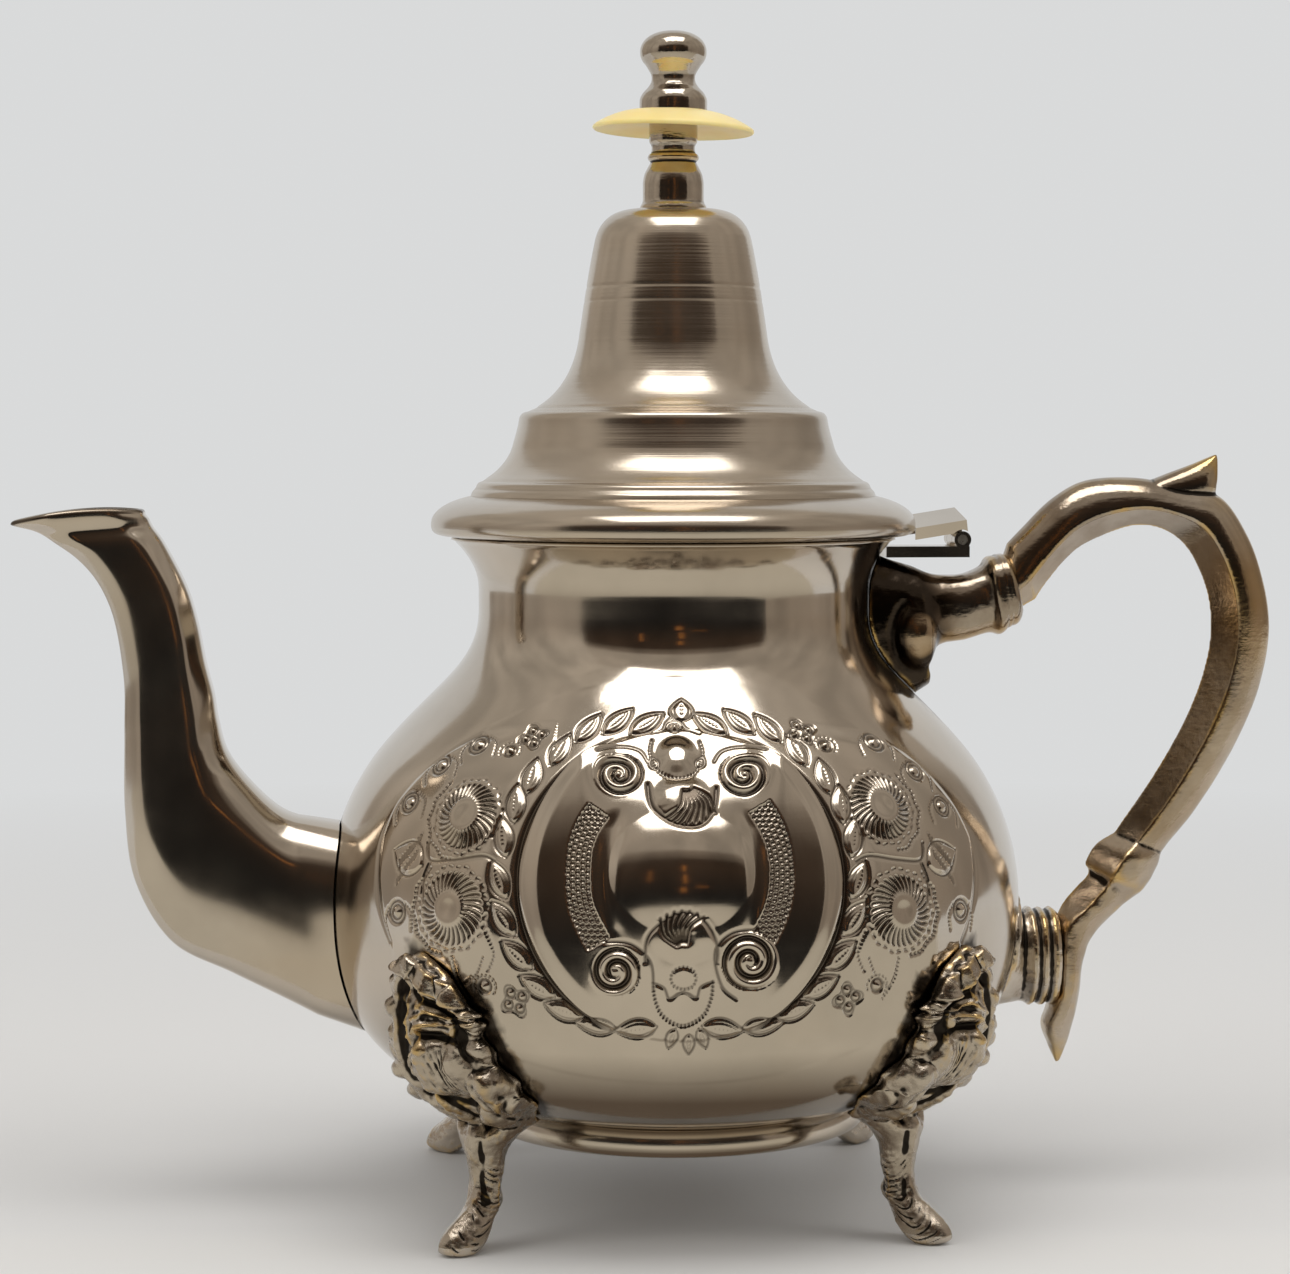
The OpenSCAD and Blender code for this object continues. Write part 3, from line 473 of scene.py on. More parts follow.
    def punched_strip(self, points, width, pitch):
        """A band of close ring punches, set like a honeycomb, along a curve."""
        k, best, place, side, length = self.beside(catmull(points, np.linspace(0, len(points) - 1, 40)), 3)
        between_ends = (place > 0.01) & (place < length - 0.01)
        row = pitch * math.sqrt(3) / 2
        r0 = np.round(side / row)
        marks = np.zeros(len(k))
        for r in (r0 - 1, r0, r0 + 1):
            shift = np.where(np.mod(r, 2) == 1, pitch / 2, 0)
            along = place - shift
            c = np.round(along / pitch)
            gap = np.hypot(along - c * pitch, side - r * row)
            marks = np.maximum(marks, np.exp(-((gap / (0.42 * pitch)) ** 4)))
        self.carve(k, 0.42 * marks * (best < width / 2) * between_ends)
        self.raised[k] -= 0.25 * (1 - step(best, width / 2 - 0.3, width / 2 + 0.2)) * between_ends

    def feathers(self, x, y, r, start, sweep, count):
        """Curved feather strokes side by side, fanned between two angles."""
        for i in range(count):
            a = start + sweep * (i + 0.5) / count
            self.line([(x + share * r * math.cos(a + ahead), y + share * r * math.sin(a + ahead))
                       for share, ahead in ((0.22, 0.2), (0.62, 0.28), (1, 0))], 0.5, 0.36)


def garland(chase):
    """The wreath of leaves round the medallion, which meets at the leaf on top."""
    left = [(-5.6, 33.1), (-11.4, 33.9), (-17.3, 32.7), (-22.6, 27.9), (-27.9, 22.3), (-30.8, 16.6),
            (-32.9, 10.0), (-33.6, 1.8), (-32.8, -5.6), (-30.2, -12.4), (-26.4, -18.4), (-21.4, -23.0),
            (-15.2, -25.8), (-7.6, -26.4)]
    for side in (-1, 1):
        for x, y in left:
            x = x if side < 0 else 1.2 - x
            outward = math.atan2(y - medallion_centre[1], x - medallion_centre[0])
            chase.leaf(x, y, 8.0, 4.0, outward + side * math.radians(66), beads=0.8)
    chase.leaf(1.2, 36.2, 5.6, 4.6, math.pi / 2)
    chase.line([(-1.0, 34.2), (-2.0, 33.0)], 0.3, 0.3)


def scroll_work(chase):
    """What is inside the medallion."""
    for x, y, r, start, hand in ((-10.6, 20.8, 3.9, 0.4, 1), (12.7, 20.9, 3.9, 2.7, -1),
                                 (-11.0, -15.5, 3.8, -0.6, -1), (13.3, -13.6, 4.3, 3.6, 1)):
        chase.spiral(x, y, r, 1.75, start, hand)
    for strip in (
            [(-14.0, 13.6), (-16.1, 10.4), (-17.4, 6.6), (-17.7, 2.0), (-17.4, -2.6), (-16.1, -6.4),
             (-13.9, -10.6)],
            [(15.2, 14.4), (17.4, 10.6), (18.7, 6.7), (19.2, 2.1), (18.7, -2.4), (17.6, -5.8), (15.8, -9.4)]):
        chase.punched_strip(strip, 4.4, 1.1)
    # mounds under the top egg, the top feathers, the lower feathers and the bud
    chase.swell(0.2, 24.8, 4.6, 5.2, 1.1, 0.2)
    chase.swell(1.1, 15.6, 6.8, 5.4, 1.0, 0.3)
    chase.swell(1.6, -9.4, 6.6, 5.0, 1.1, 0.25)
    chase.swell(1.2, -15.4, 5.2, 6.0, 0.8, 0.2)
    chase.ring(-0.2, 31.9, 1.1, 0.9)
    chase.feathers(1.8, 18.4, 7.6, math.radians(-125), math.radians(85), 8)
    chase.feathers(1.2, -11.6, 6.8, math.radians(52), math.radians(80), 7)
    for depth, width, beads, points in (
            # thin arcs that carry the scrolls on
            (0.25, 0.25, 0, [(-14.5, 25.2), (-10.8, 27.2), (-7.0, 26.4), (-5.2, 23.6)]),
            (0.25, 0.25, 0, [(16.8, 25.4), (13.0, 27.2), (9.0, 26.4), (7.2, 23.8)]),
            (0.35, 0.35, 0, [(-12.5, -10.2), (-8.0, -10.6), (-4.6, -13.8), (-4.2, -19.0)]),
            (0.35, 0.35, 0, [(15.0, -8.0), (10.0, -8.6), (6.9, -12.0), (8.2, -18.0), (11.0, -20.6)]),
            # the calyx and the egg under it, then the edge below the top feathers
            (0.3, 0.3, 0, [(-4.6, 30.6), (-2.6, 31.2), (-1.6, 33.2), (0.6, 33.6), (2.2, 31.6), (4.6, 30.4)]),
            (0.4, 0.36, 0.75, [(-4.6, 28.6), (-4.9, 26.0), (-4.0, 22.8), (-2.2, 20.6), (0.2, 19.8),
                               (2.8, 20.5), (4.4, 22.8), (5.1, 26.0), (4.6, 28.4)]),
            (0.45, 0.5, 0, [(-5.2, 18.6), (-4.2, 14.0), (-0.4, 10.8), (4.0, 10.4), (6.6, 13.2), (7.4, 17.8)]),
            # the edge over the lower feathers, then the bud and the tulip's edge
            (0.35, 0.4, 0, [(-5.6, -13.8), (-5.2, -9.6), (-2.6, -6.8), (1.4, -5.0), (5.0, -6.6), (7.2, -10.4),
                            (7.2, -14.0)]),
            (0.45, 0.4, 0.75, [(-4.2, -17.6), (-3.9, -20.6), (-2.6, -23.6), (0.2, -25.6), (2.6, -25.4),
                               (5.2, -23.4), (6.4, -20.2), (6.6, -17.4)]),
            (0.35, 0.34, 0, [(-4.2, -17.6), (-2.2, -18.6), (-1.2, -20.6), (1.2, -19.2), (3.6, -20.4),
                             (4.4, -18.4), (6.6, -17.4)])):
        chase.line(points, depth, width, beads)
    t = math.tau * np.arange(8) / 8
    chase.line(columns(1.3 + 2.3 * np.cos(t), -16.6 + 2.1 * np.sin(t)), 0.4, 0.36, beads=0.7, closed=True)
    for x, y, length, width, turn, beads in (
            (-4.1, 23.4, 3.0, 1.7, 1.9, 0.6), (4.6, 23.6, 3.0, 1.7, 1.2, 0.6),
            (-0.9, -28.4, 4.4, 2.2, -1.9, 0.7), (2.4, -29.6, 4.4, 2.2, -1.57, 0.7),
            (5.0, -28.4, 4.4, 2.2, -1.2, 0.7)):
        chase.leaf(x, y, length, width, turn, beads=beads)


flower_panels = {
    -1: {"flowers": [(-41.4, 15.2, 7.3), (-44.2, -3.2, 7.6)],
         "edge": [(-41.7, 34.8), (-47.6, 32.8), (-53.1, 30.0), (-58.4, 26.6), (-62.6, 22.0), (-65.6, 14.6),
                  (-66.0, 5.0), (-64.8, -3.0), (-62.2, -9.0)],
         "rings": [(-57.4, 20.8), (-50.3, 28.6), (-41.4, 32.0), (-59.0, -3.0)],
         "blossoms": [(-28.8, 31.8, 0.2), (-31.2, -21.4, 0.5)],
         "single_rings": [(-33.4, 28.8), (-37.6, -18.6)]},
    1: {"flowers": [(40.9, 17.0, 7.3), (44.4, -3.6, 7.4)],
        "edge": [(42.6, 37.0), (50.9, 35.0), (57.4, 30.0), (62.6, 23.4), (67.0, 14.6), (67.4, 6.0),
                 (66.0, -2.0), (62.9, -9.0)],
        "rings": [(42.3, 33.0), (51.7, 27.4), (57.8, 20.0), (61.6, -2.4)],
        "blossoms": [(25.6, 32.6, 0.5), (33.6, -21.0, 0.2)],
        "single_rings": [(30.2, 29.6), (40.0, -18.4)]}}


def floral_side(chase, s):
    """One of the two flower panels beside the wreath. s is -1 on the left and 1 on the right."""
    panel = flower_panels[s]
    edge = panel["edge"]
    chase.line(edge, 0.18, 0.7)
    k = np.nonzero(chase.a * s > 24)[0]
    a, b = chase.a[k], chase.b[k]
    reach = np.interp(b, [y for _, y in edge[::-1]], [abs(x) for x, _ in edge[::-1]])
    from_wreath = np.hypot(a - medallion_centre[0], b - medallion_centre[1])
    chase.raised[k] += (0.35 * step(reach - np.abs(a), 0, 1.6) * (1 - step(b, 31, 36)) * step(b, -16, -8)
                        * step(from_wreath, 34, 39))
    for x, y, r in panel["flowers"]:
        chase.flower(x, y, r, lean=-0.35 * s)
        wavy = r + 1.9 + 0.5 * (np.arange(10) % 2)
        t = np.linspace(-1.2, 1.0, 10)
        chase.line(columns(x + s * wavy * np.cos(t), y + wavy * np.sin(t)), 0.4, 0.4, beads=1.0)
    # hatched half leaf
    chase.leaf(s * 56.0, 8.2, 9.6, 7.4, math.pi / 2 - s * 1.1, depth=0.38, beads=9.0)
    for t in (np.arange(9) + 0.5) / 9:
        x, y = s * (59.2 - 6.2 * t), 5.6 + 5.2 * t
        chase.line([(x, y), (x - s * 0.9, y + 2.2)], 0.3, 0.28)
        chase.line([(x - s * 0.4, y - 1.2), (x + s * 0.4, y - 3.0)], 0.26, 0.28)
    # ringed tendrils
    for x, y in panel["rings"]:
        chase.ring(x, y, 1.5, 0.8)
        chase.ring(x, y, 2.35, 0.0)
        chase.line([(x - 2.6, y + 1.0), (x - 4.0, y - 1.4), (x - 3.4, y - 4.4)], 0.34, 0.34, beads=0.8)
        chase.line([(x + 2.6, y + 1.4), (x + 4.4, y - 0.6), (x + 4.2, y - 4.0)], 0.34, 0.34, beads=0.8)
    for x, y, turn in panel["blossoms"]:
        chase.blossom(x, y, turn)
    for x, y in panel["single_rings"]:
        chase.ring(x, y, 1.3, 1.0)
        t = np.linspace(-0.6, 3.7, 8)
        chase.line(columns(x + 2.4 * np.cos(t), y + 2.1 * np.sin(t)), 0.3, 0.32, beads=0.9)
    for depth, width, beads, points in (
            # the line between the flowers, with its fork
            (0.35, 0.4, 0, [(34.6, 5.4), (37.4, 6.6), (44, 6.4), (49.8, 7.0), (50.6, 10.6)]),
            (0.3, 0.36, 0, [(49.8, 6.2), (51.4, 2.6), (51.2, -1.6)]),
            # beaded stems that run down from the flowers to the feet
            (0.32, 0.34, 0.8, [(36.2, -8.0), (35.0, -12.0), (36.6, -15.4)]),
            (0.32, 0.34, 0.8, [(37.6, -13.0), (39.6, -16.4), (43.0, -18.8)]),
            (0.32, 0.34, 0.8, [(44.6, -13.0), (44.0, -16.8), (41.6, -21.0)])):
        chase.line([(s * x, y) for x, y in points], depth, width, beads)


def chased_relief(a, b):
    """Height above the spun belly and depth of the cuts, in mm, at places (a, b)."""
    chase = Chasing(a, b)
    dx, dy = a - medallion_centre[0], b - medallion_centre[1]
    rho = np.hypot(dx, dy)
    sideways = np.abs(dx) / np.maximum(rho, 1e-6)
    merged = (1 - step(sideways, 0.25, 0.6)) * step(rho, 12, 26)
    inside = 1 - step(rho, medallion_edge - 1.2, medallion_edge)
    chase.raised += medallion_raise * (1 - 0.65 * merged) * inside
    # the flanks outside the punched strips are hammered flat from top to bottom
    flank = step(np.abs(dx), 11, 19) * inside
    chase.raised += flank * (flank_lift * (dy / 16) ** 2 * np.where(dy > 0, 1, 0.7) - 0.2)
    chase.raised -= 0.5 * step(rho, medallion_edge - 4.4, medallion_edge - 1.0) * flank
    # domed cushion in the middle, with a smooth hollow between it and the punched strips
    cushion = np.hypot(dx / 13.2, (b - cushion_b) / 11.5)
    chase.raised += cushion_raise * np.maximum(0, 1 - cushion**2) ** 1.2
    hollow = hump(np.abs(dx) - 13.8 + 0.014 * dy * dy, 1.8) * (1 - step(np.abs(dy), 9, 14))
    chase.raised -= 0.5 * hollow
    groove = hump(rho - medallion_edge - 0.5, 0.55) * step(sideways, 0.3, 0.62)
    chase.cut = np.maximum(chase.cut, 0.55 * groove)
    garland(chase)
    scroll_work(chase)
    for s in (-1, 1):
        floral_side(chase, s)
    wobble = noise(columns(a, b, 0), 9.0, 5)
    return chase.raised - chase.cut + 0.06 * wobble, chase.cut


def panel_places(points, turn):
    """Places (a, b) of points on the belly, measured over it from the panel's centre at the angle turn."""
    z = belly_z + medallion_rise
    slope = body_r(z + 0.5) - body_r(z - 0.5)
    centre = np.array([body_r(z) * math.cos(turn), body_r(z) * math.sin(turn), z])
    out = np.array([math.cos(turn), math.sin(turn), -slope])
    out /= np.linalg.norm(out)
    right = np.array([-math.sin(turn), math.cos(turn), 0])
    up = np.cross(out, right)
    d = points - centre
    chord = np.linalg.norm(d, axis=-1)
    flat = d - (d @ out)[..., None] * out
    length = np.maximum(np.linalg.norm(flat, axis=-1), 1e-9)
    # the way over the belly is a little longer than the chord
    bend_r = 55.0
    rho = chord * (1 + chord**2 / (24 * bend_r**2))
    return (flat @ right) / length * rho, (flat @ up) / length * rho


def make_body():
    """Rings of points over the body's chased skin, and how deep it is cut at each."""
    fine, coarse = 0.24 / FINE, 1.6
    profile = even(outer, lambda p: fine if panel_low_z - 2 < p[1] < panel_high_z + 1 else 1.0)
    lip = [(lip_r + 0.12, lip_z - 0.45), (lip_r - 0.1, lip_z - 0.12), (lip_r - 0.5, lip_z),
           (lip_r - body_wall, lip_z - 0.1), (lip_r - 1.5 * body_wall, lip_z - 0.7)]
    profile = np.vstack([[[0.0, base_z], [bottom_r * 0.5, base_z]], profile[:-1], lip])
    turn = []
    for centre in panel_turns:
        turn.append(np.arange(centre - panel_half, centre + panel_half, fine / belly_r))
        turn.append(np.arange(centre + panel_half, centre + math.pi - panel_half, coarse / belly_r))
    turn = np.concatenate(turn)
    rings, out = round_axis(profile, turn), round_axis(normals_2d(profile), turn)
    height, cuts = np.zeros(rings.shape[:2]), np.zeros(rings.shape[:2])
    rows = (profile[:, 1] > panel_low_z) & (profile[:, 1] < panel_high_z)
    for centre in panel_turns:
        cols = np.abs(np.angle(np.exp(1j * (turn - centre)))) < panel_half + 1e-6
        pick = np.ix_(rows, cols)
        a, b = panel_places(rings[pick], centre)
        fade = 1 - step(np.hypot(a / panel_reach_a, (b - panel_mid_b) / panel_reach_b), 0.97, 1.0)
        h, cut = chased_relief(a.ravel(), b.ravel())
        height[pick] = h.reshape(a.shape) * fade
        cuts[pick] = cut.reshape(a.shape) * fade
    return rings + out * height[..., None], cuts


def solder_stain(p):
    """Dark oxide on the belly round each soldered foot, bracket and spout, from 0 to 1."""
    x, y, z = p.T
    ragged = 0.7 + 0.5 * noise(p, 2.6, 71) + 0.3 * noise(p, 1.0, 72)
    stain = np.zeros(len(p))
    for angle, _, side, lean in leg_places.values():
        turn = np.radians(angle + lean * step(z, leaf_lean_z, leaf_top_z))
        t = side * np.angle(np.exp(1j * (np.arctan2(y, x) - turn))) * np.hypot(x, y)
        half = leaf_w * (0.55 + 0.45 * step(z, 22, 31)) * (1 - 0.55 * step(z, 38, leaf_top_z + 1))
        gap = np.maximum(np.abs(t) - half - 0.5 * step(t, 0, 6), z - leaf_top_z + 1.5 + 5 * step(t, -7, 9))
        stain = np.maximum(stain, hump(np.maximum(gap, 0), 1.9 * ragged + 0.3) * step(z, 20, 24))
    root_mid = neck_z + (upper_root_rise - upper_root_drop) / 2
    root_half = (upper_root_rise + upper_root_drop) / 2
    for side, mid, half_w, half_h, fade, dark in (
            (1, root_mid, upper_bracket_w + 5.5, root_half + 1.5, 0.30 * ragged + 0.05, 1),
            (1, belly_z - barrel_drop, barrel_w + 1.5, barrel_h + 2.5, 0.12 * ragged + 0.03, 1),
            (-1, belly_z - 5.2, spout_root_w, 20.8, 0.035 * ragged + 0.02, 0.85)):
        rho = np.hypot(y / half_w, (z - mid) / half_h)
        stain = np.maximum(stain, dark * (side * x > 0) * hump(np.maximum(rho - 1, 0), fade))
    return np.clip(stain, 0, 1)


rings, cuts = make_body()
body = mesh("body_skin", *grid(rings))
mark(body, hollow=np.clip(cuts / 0.42, 0, 1).ravel(), stain=solder_stain(rings.reshape(-1, 3)), worn=0)

inner = outer[outer[:, 1] > base_z + 0.4]
inner = inner - body_wall * normals_2d(inner)
inner = inner[inner[:, 0] > 1]
inside = even(np.vstack([[[0, base_z + body_wall]], inner, [[lip_r - 1.5 * body_wall, lip_z - 0.7]]]), 1.2)
body_inside = revolve("body_lining", inside[::-1], 192)

# ---- foot ring, lid and finial: turned and spun pieces ----

ring_low_z = base_z + 1.2 - ring_h
ring_in = ring_r - ring_w
foot = even(np.vstack([
    [(ring_in, base_z + 1.2), (ring_in, ring_low_z + 0.8), (ring_in + 0.3, ring_low_z + 0.25),
     (ring_in + 1, ring_low_z), (ring_r - 1.2, ring_low_z)],
    bezier([(ring_r - 1.2, ring_low_z), (ring_r + 0.4, ring_low_z + 0.5),
            (ring_r + 0.4, ring_low_z + 4.2), (ring_r - 1.7, ring_low_z + ring_h)], 24)]), 0.35)
foot_ring = revolve("foot_ring_skin", foot)

rim_outer = np.vstack([
    [(lip_r - 1.2, seat_z), (lip_r, seat_z)],
    flowing((lip_r, seat_z),
            (24, (rim_r - 0.4, seat_z), (rim_r, seat_z + 0.9), (rim_r, seat_z + 2.3)),
            (40, (rim_r, seat_z + 5.3), (dome_r + 4.0, rim_top_z - 0.9), (dome_r, rim_top_z)))])
rim_skin = even(np.vstack([rim_outer, [(dome_r - 1.5 * dome_wall, rim_top_z)]]), 0.25)
under = even(rim_outer[::-1] - rim_wall * normals_2d(rim_outer)[::-1], 0.5)
lid_rim = revolve("lid_rim_skin", np.vstack([rim_skin, under[under[:, 0] > dome_r - 2], rim_skin[:1]]), 320)

tier1_r = dome_r - 1.3
tier2_low_r = tier1_r - 5.0
tier2_r = tier2_low_r - 3.3
dome_path = np.vstack([
    rounded([(dome_r, rim_top_z), (dome_r - 0.3, rim_top_z + 0.9), (dome_r - 1.0, rim_top_z + 1.5),
             (tier1_r, rim_top_z + 2.4), (tier1_r - 0.6, tier1_z - 0.5)]),
    flowing((tier1_r - 0.6, tier1_z - 0.5),
            (40, (tier1_r - 3.4, tier1_z + 0.6), (tier2_low_r - 1.2, tier1_z + 3.6),
             (tier2_low_r - 2.0, tier1_z + 6.4)),
            (30, (tier2_low_r - 2.7, tier1_z + 9.0), (tier2_r + 0.2, tier2_z - 3.2),
             (tier2_r, tier2_z - 1.6)),
            (16, (tier2_r - 0.2, tier2_z - 0.4), (tier2_r - 0.8, tier2_z), (tier2_r - 1.8, tier2_z + 0.1)),
            (60, (tier2_r - 7.4, tier2_z + 2.6), (bell_top_r + 3.9, tier2_z + 7.8),
             (bell_top_r + 3.0, tier2_z + 15.8)),
            (40, (bell_top_r + 2.2, tier2_z + 21), (bell_top_r + 1.4, tier2_z + 27),
             (bell_top_r, bell_top_z - 6.4)),
            (40, (bell_top_r - 0.8, bell_top_z - 2.2), (bell_top_r - 3.6, bell_top_z),
             (stem_r + 1.6, bell_top_z))),
    [(screw_r + screw_clear, bell_top_z)]])
dome_path = even(dome_path, 0.22)
dome_out = normals_2d(dome_path)


def scribed(height, depth, width=0.28):
    """A fine turned line round the lid at a height."""
    return -depth * hump(dome_path[:, 1] - height, width)


cut = (scribed(tier2_z + 24.6, 0.10) + scribed(tier2_z + 21.8, 0.07) + scribed(tier1_z - 0.3, 0.16, 0.35)
       + scribed(tier2_z + 0.9, 0.12))
skin = dome_path + cut[:, None] * dome_out
lining = even((dome_path - dome_wall * dome_out)[::-1], 0.8)
lining = lining[(lining[:, 0] > screw_r + screw_clear) & (lining[:, 1] > rim_top_z + 0.1)]
crown = [[screw_r + screw_clear, bell_top_z - dome_wall]]
lid_dome = revolve("lid_dome_skin", np.vstack([skin, crown, lining, skin[:1]]), 320)


def turned(name, points, bore, floor_z=None):
    """A turned piece with softened corners, bored through, or from below up to floor_z."""
    skin = even(rounded(points), 0.15)
    low, high = skin[0][1], skin[-1][1]
    if floor_z is None:
        path = np.vstack([[(bore, low)], skin, [(bore, high), (bore, low)]])
    else:
        path = np.vstack([[(0.02, floor_z), (bore, floor_z), (bore, low)], skin])
    return revolve(name, path, 128)


z = bell_top_z
t = np.radians(np.linspace(-80, 80, 9))
arc = columns(stem_neck_r + 0.8 * np.cos(t), z + 10.2 + 0.8 * np.sin(t))
stem = turned("finial_stem_skin", [
    (stem_r + 0.6, z), (stem_r + 0.5, z + 0.7), (stem_r, z + 1.4), (stem_r, z + 5.4), (stem_r - 0.3, z + 7.0),
    (stem_neck_r + 0.6, z + 8.6), *arc, (stem_neck_r, z + 11.6), (stem_neck_r, z + 12.6),
    (stem_neck_r + 0.5, z + 13.2), (stem_neck_r + 0.5, disc_z)], screw_r + screw_clear)

t = np.radians(np.linspace(-60, 70, 9))
disc_points = np.vstack([
    [(screw_r + screw_clear, disc_z), (stem_neck_r + 1.2, disc_z)],
    bezier([(stem_neck_r + 1.2, disc_z), (disc_r - 6, disc_z - 0.1), (disc_r - 2, disc_z - disc_drop * 0.7),
            (disc_r - 0.4, disc_z - disc_drop)], 24),
    columns(disc_r - 0.5 + 0.5 * np.cos(t), disc_z - disc_drop + 0.55 + 0.5 * np.sin(t)),
    bezier([(disc_r - 0.4, disc_z - disc_drop + 1.1), (disc_r - 3, disc_z + disc_t - 1.3),
            (knob_r + 3, knob_z), (knob_r + 0.3, knob_z)], 24),
    [(screw_r + screw_clear, knob_z), (screw_r + screw_clear, disc_z)]])
disc = revolve("finial_disc_skin", even(disc_points, 0.3), 192)
# the disc hangs down a little towards the handle
disc_lean = math.radians(2.0)
p, _, _ = vertex_arrays(disc.data)
p[:, 2] -= p[:, 0] * math.tan(disc_lean) * step(np.hypot(p[:, 0], p[:, 1]), knob_r, 9)
set_points(disc, p)

z = knob_z
ball_h = 4.2
t = np.radians(np.linspace(-36.5, 89.9, 36))
ball = columns(knob_r * np.cos(t) ** 0.86,
               z + knob_h - ball_h + ball_h * np.sign(np.sin(t)) * np.abs(np.sin(t)) ** 0.95)
knob = turned("finial_knob_skin", [
    (knob_r + 0.1, z), (knob_r + 0.1, z + 2.4), (knob_r - 0.5, z + 3.6), (knob_r - 1.6, z + 4.7),
    (knob_r - 2.3, z + 5.8), (knob_r - 2.3, z + 7.1), *ball], screw_r + screw_clear / 3, z + screw_grip + 0.5)

# ---- spout ----


def square_section(n, e):
    a = math.tau * np.arange(n) / n
    return columns(np.sign(np.cos(a)) * np.abs(np.cos(a)) ** (2 / e),
                   np.sign(np.sin(a)) * np.abs(np.sin(a)) ** (2 / e))


def keel_section(n, flat):
    """Rounded behind and a keel in front, blunter as flat goes from 0 to 1."""
    a = math.tau * np.arange(n) / n
    c, s = np.cos(a), np.sin(a)
    back = columns(1.25 * c - 0.25, s)
    reach = flat * np.sign(-c) * np.abs(c) ** 0.4 + (1 - flat) * (1 - np.abs(s))
    front = columns(-0.25 - 0.75 * reach, s * (1 - 0.12 * flat * -c))
    return np.where((c >= 0)[:, None], back, front)


def cross_ring(unit, far_side, near_side, w):
    c, h = (far_side + near_side) / 2, (far_side - near_side) / 2
    return columns(c[0] + unit[:, 0] * h[0], unit[:, 1] * w, c[1] + unit[:, 0] * h[1])


def seat_x(y, z):
    """How far out the belly is, with the solder film on it."""
    return np.sqrt((body_r(z) + pad_gap) ** 2 - y * y)


def seated(unit, mid_z, half_w, half_h):
    """Rings over the belly that spread out to the outline of a soldered root."""
    rings = []
    for k in (0.15, 0.4, 0.7, 0.9, 1.0):
        y, z = k * unit[:, 1] * half_w, mid_z + k * unit[:, 0] * half_h
        rings.append(columns(seat_x(y, z), y, z))
    return rings


spout_rows = [
    [-4, -26.0, 0.5, 15.6, spout_root_w],
    [6.0, -20.3, 8.5, 18.0, spout_root_w - 1.2],
    [18.5, -14.0, 15.0, 23.8, spout_root_w - 2.6],
    [30.5, -7.6, 19.4, 29.8, spout_root_w - 3.8],
    [37.6, 4.5, 21.2, 36.0, spout_root_w - 4.8],
    [39.5, 18.5, 22.1, 41.5, spout_root_w - 5.6],
    [39.5, 33.5, 23.6, 47.6, spout_root_w - 6.4],
    [39.6, 45.5, 25.0, 55.0, spout_mouth_w + 1.0],
    [42.2, 59.0, 27.0, 62.0, spout_mouth_w + 0.5],
    [48.5, 68.2, 30.6, 69.4, spout_mouth_w],
    [61.0, 75.6, 35.2, 77.6, spout_mouth_w]]
spout_sides, lip_arch, lip_thick = 160, 1.0, 0.9


def facet_section(n, crisp):
    """The spout's section: a soft superellipse at its root, eight facets with keen ridges farther up."""
    a = math.tau * np.arange(n) / n
    c, s = np.abs(np.cos(a)), np.abs(np.sin(a))
    soft = (c**spout_square + s**spout_square) ** (-1 / spout_square)
    corner = 2 * 0.5 ** (1 / spout_square)
    facets = (c**30 + s**30 + ((c + s) / corner) ** 30) ** (-1 / 30)
    r = soft + crisp * (facets - soft)
    return columns(r * np.cos(a), r * np.sin(a))


def spout_ring(share, wall):
    """One ring of the spout, share of the way from root to mouth."""
    unit = facet_section(spout_sides, 0.35 * step(share, 0.0, 0.12) + 0.5 * step(share, 0.16, 0.5))
    r = row_at(spout_rows, (len(spout_rows) - 1) * share)
    far_side = np.array([-belly_r - r[0], belly_z + r[1]])
    near_side = np.array([-belly_r - r[2], belly_z + r[3]])
    d = (far_side - near_side) / np.linalg.norm(far_side - near_side)
    slant = 1 + 1.1 * share**8
    under_lip = 0.6 * hump(share - 0.955, 0.019)
    far_side, near_side = far_side - (wall * slant + under_lip) * d, near_side + (wall + 0.7 * under_lip) * d
    lower_belly = 1 + 0.11 * (1 - step(share, 0.4, 0.7)) * step(share, 0, 0.08) * unit[:, 0]
    ring = cross_ring(unit, far_side, near_side, (r[4] - wall - under_lip) * lower_belly)
    ring[:, 2] += step(share, 0.955, 1) * (lip_arch * (1 - unit[:, 0] ** 2) - lip_thick)
    return ring


def spout_root(wall):
    unit = facet_section(spout_sides, 0)
    r = spout_rows[0]
    high, low = belly_z + r[3], belly_z + r[1]
    y = unit[:, 1] * (r[4] - wall)
    z = (high + low) / 2 + unit[:, 0] * ((low - high) / 2 + wall)
    return columns(-seat_x(y, z), y, z)


root_blend = 2 / 30
rings_out = [spout_root(0) * (1 - t) + spout_ring(root_blend, 0) * t for t in np.linspace(0, 1, 7)[:-1]]
rings_out += [spout_ring(s, 0) for s in np.r_[np.linspace(root_blend, 0.93, 150), np.linspace(0.932, 1, 36)]]
rings_in = [spout_ring(s, spout_wall) for s in np.linspace(1, root_blend, 90)] + [spout_root(spout_wall)]
lip_out, lip_in = rings_out[-1], rings_in[0]
mouth = []
for share in (0.01, 0.04, 0.1, 0.2, 0.35, 0.5, 0.65, 0.8, 0.9, 0.96, 0.99):
    rounding = (lip_thick + 0.1) * math.sin(math.pi * share) ** 0.4
    mouth.append(lip_out + share * (lip_in - lip_out) + np.array([0, 0, rounding]))
spout = mesh("spout_skin", *grid(rings_out + mouth + rings_in))

# ---- handle ----

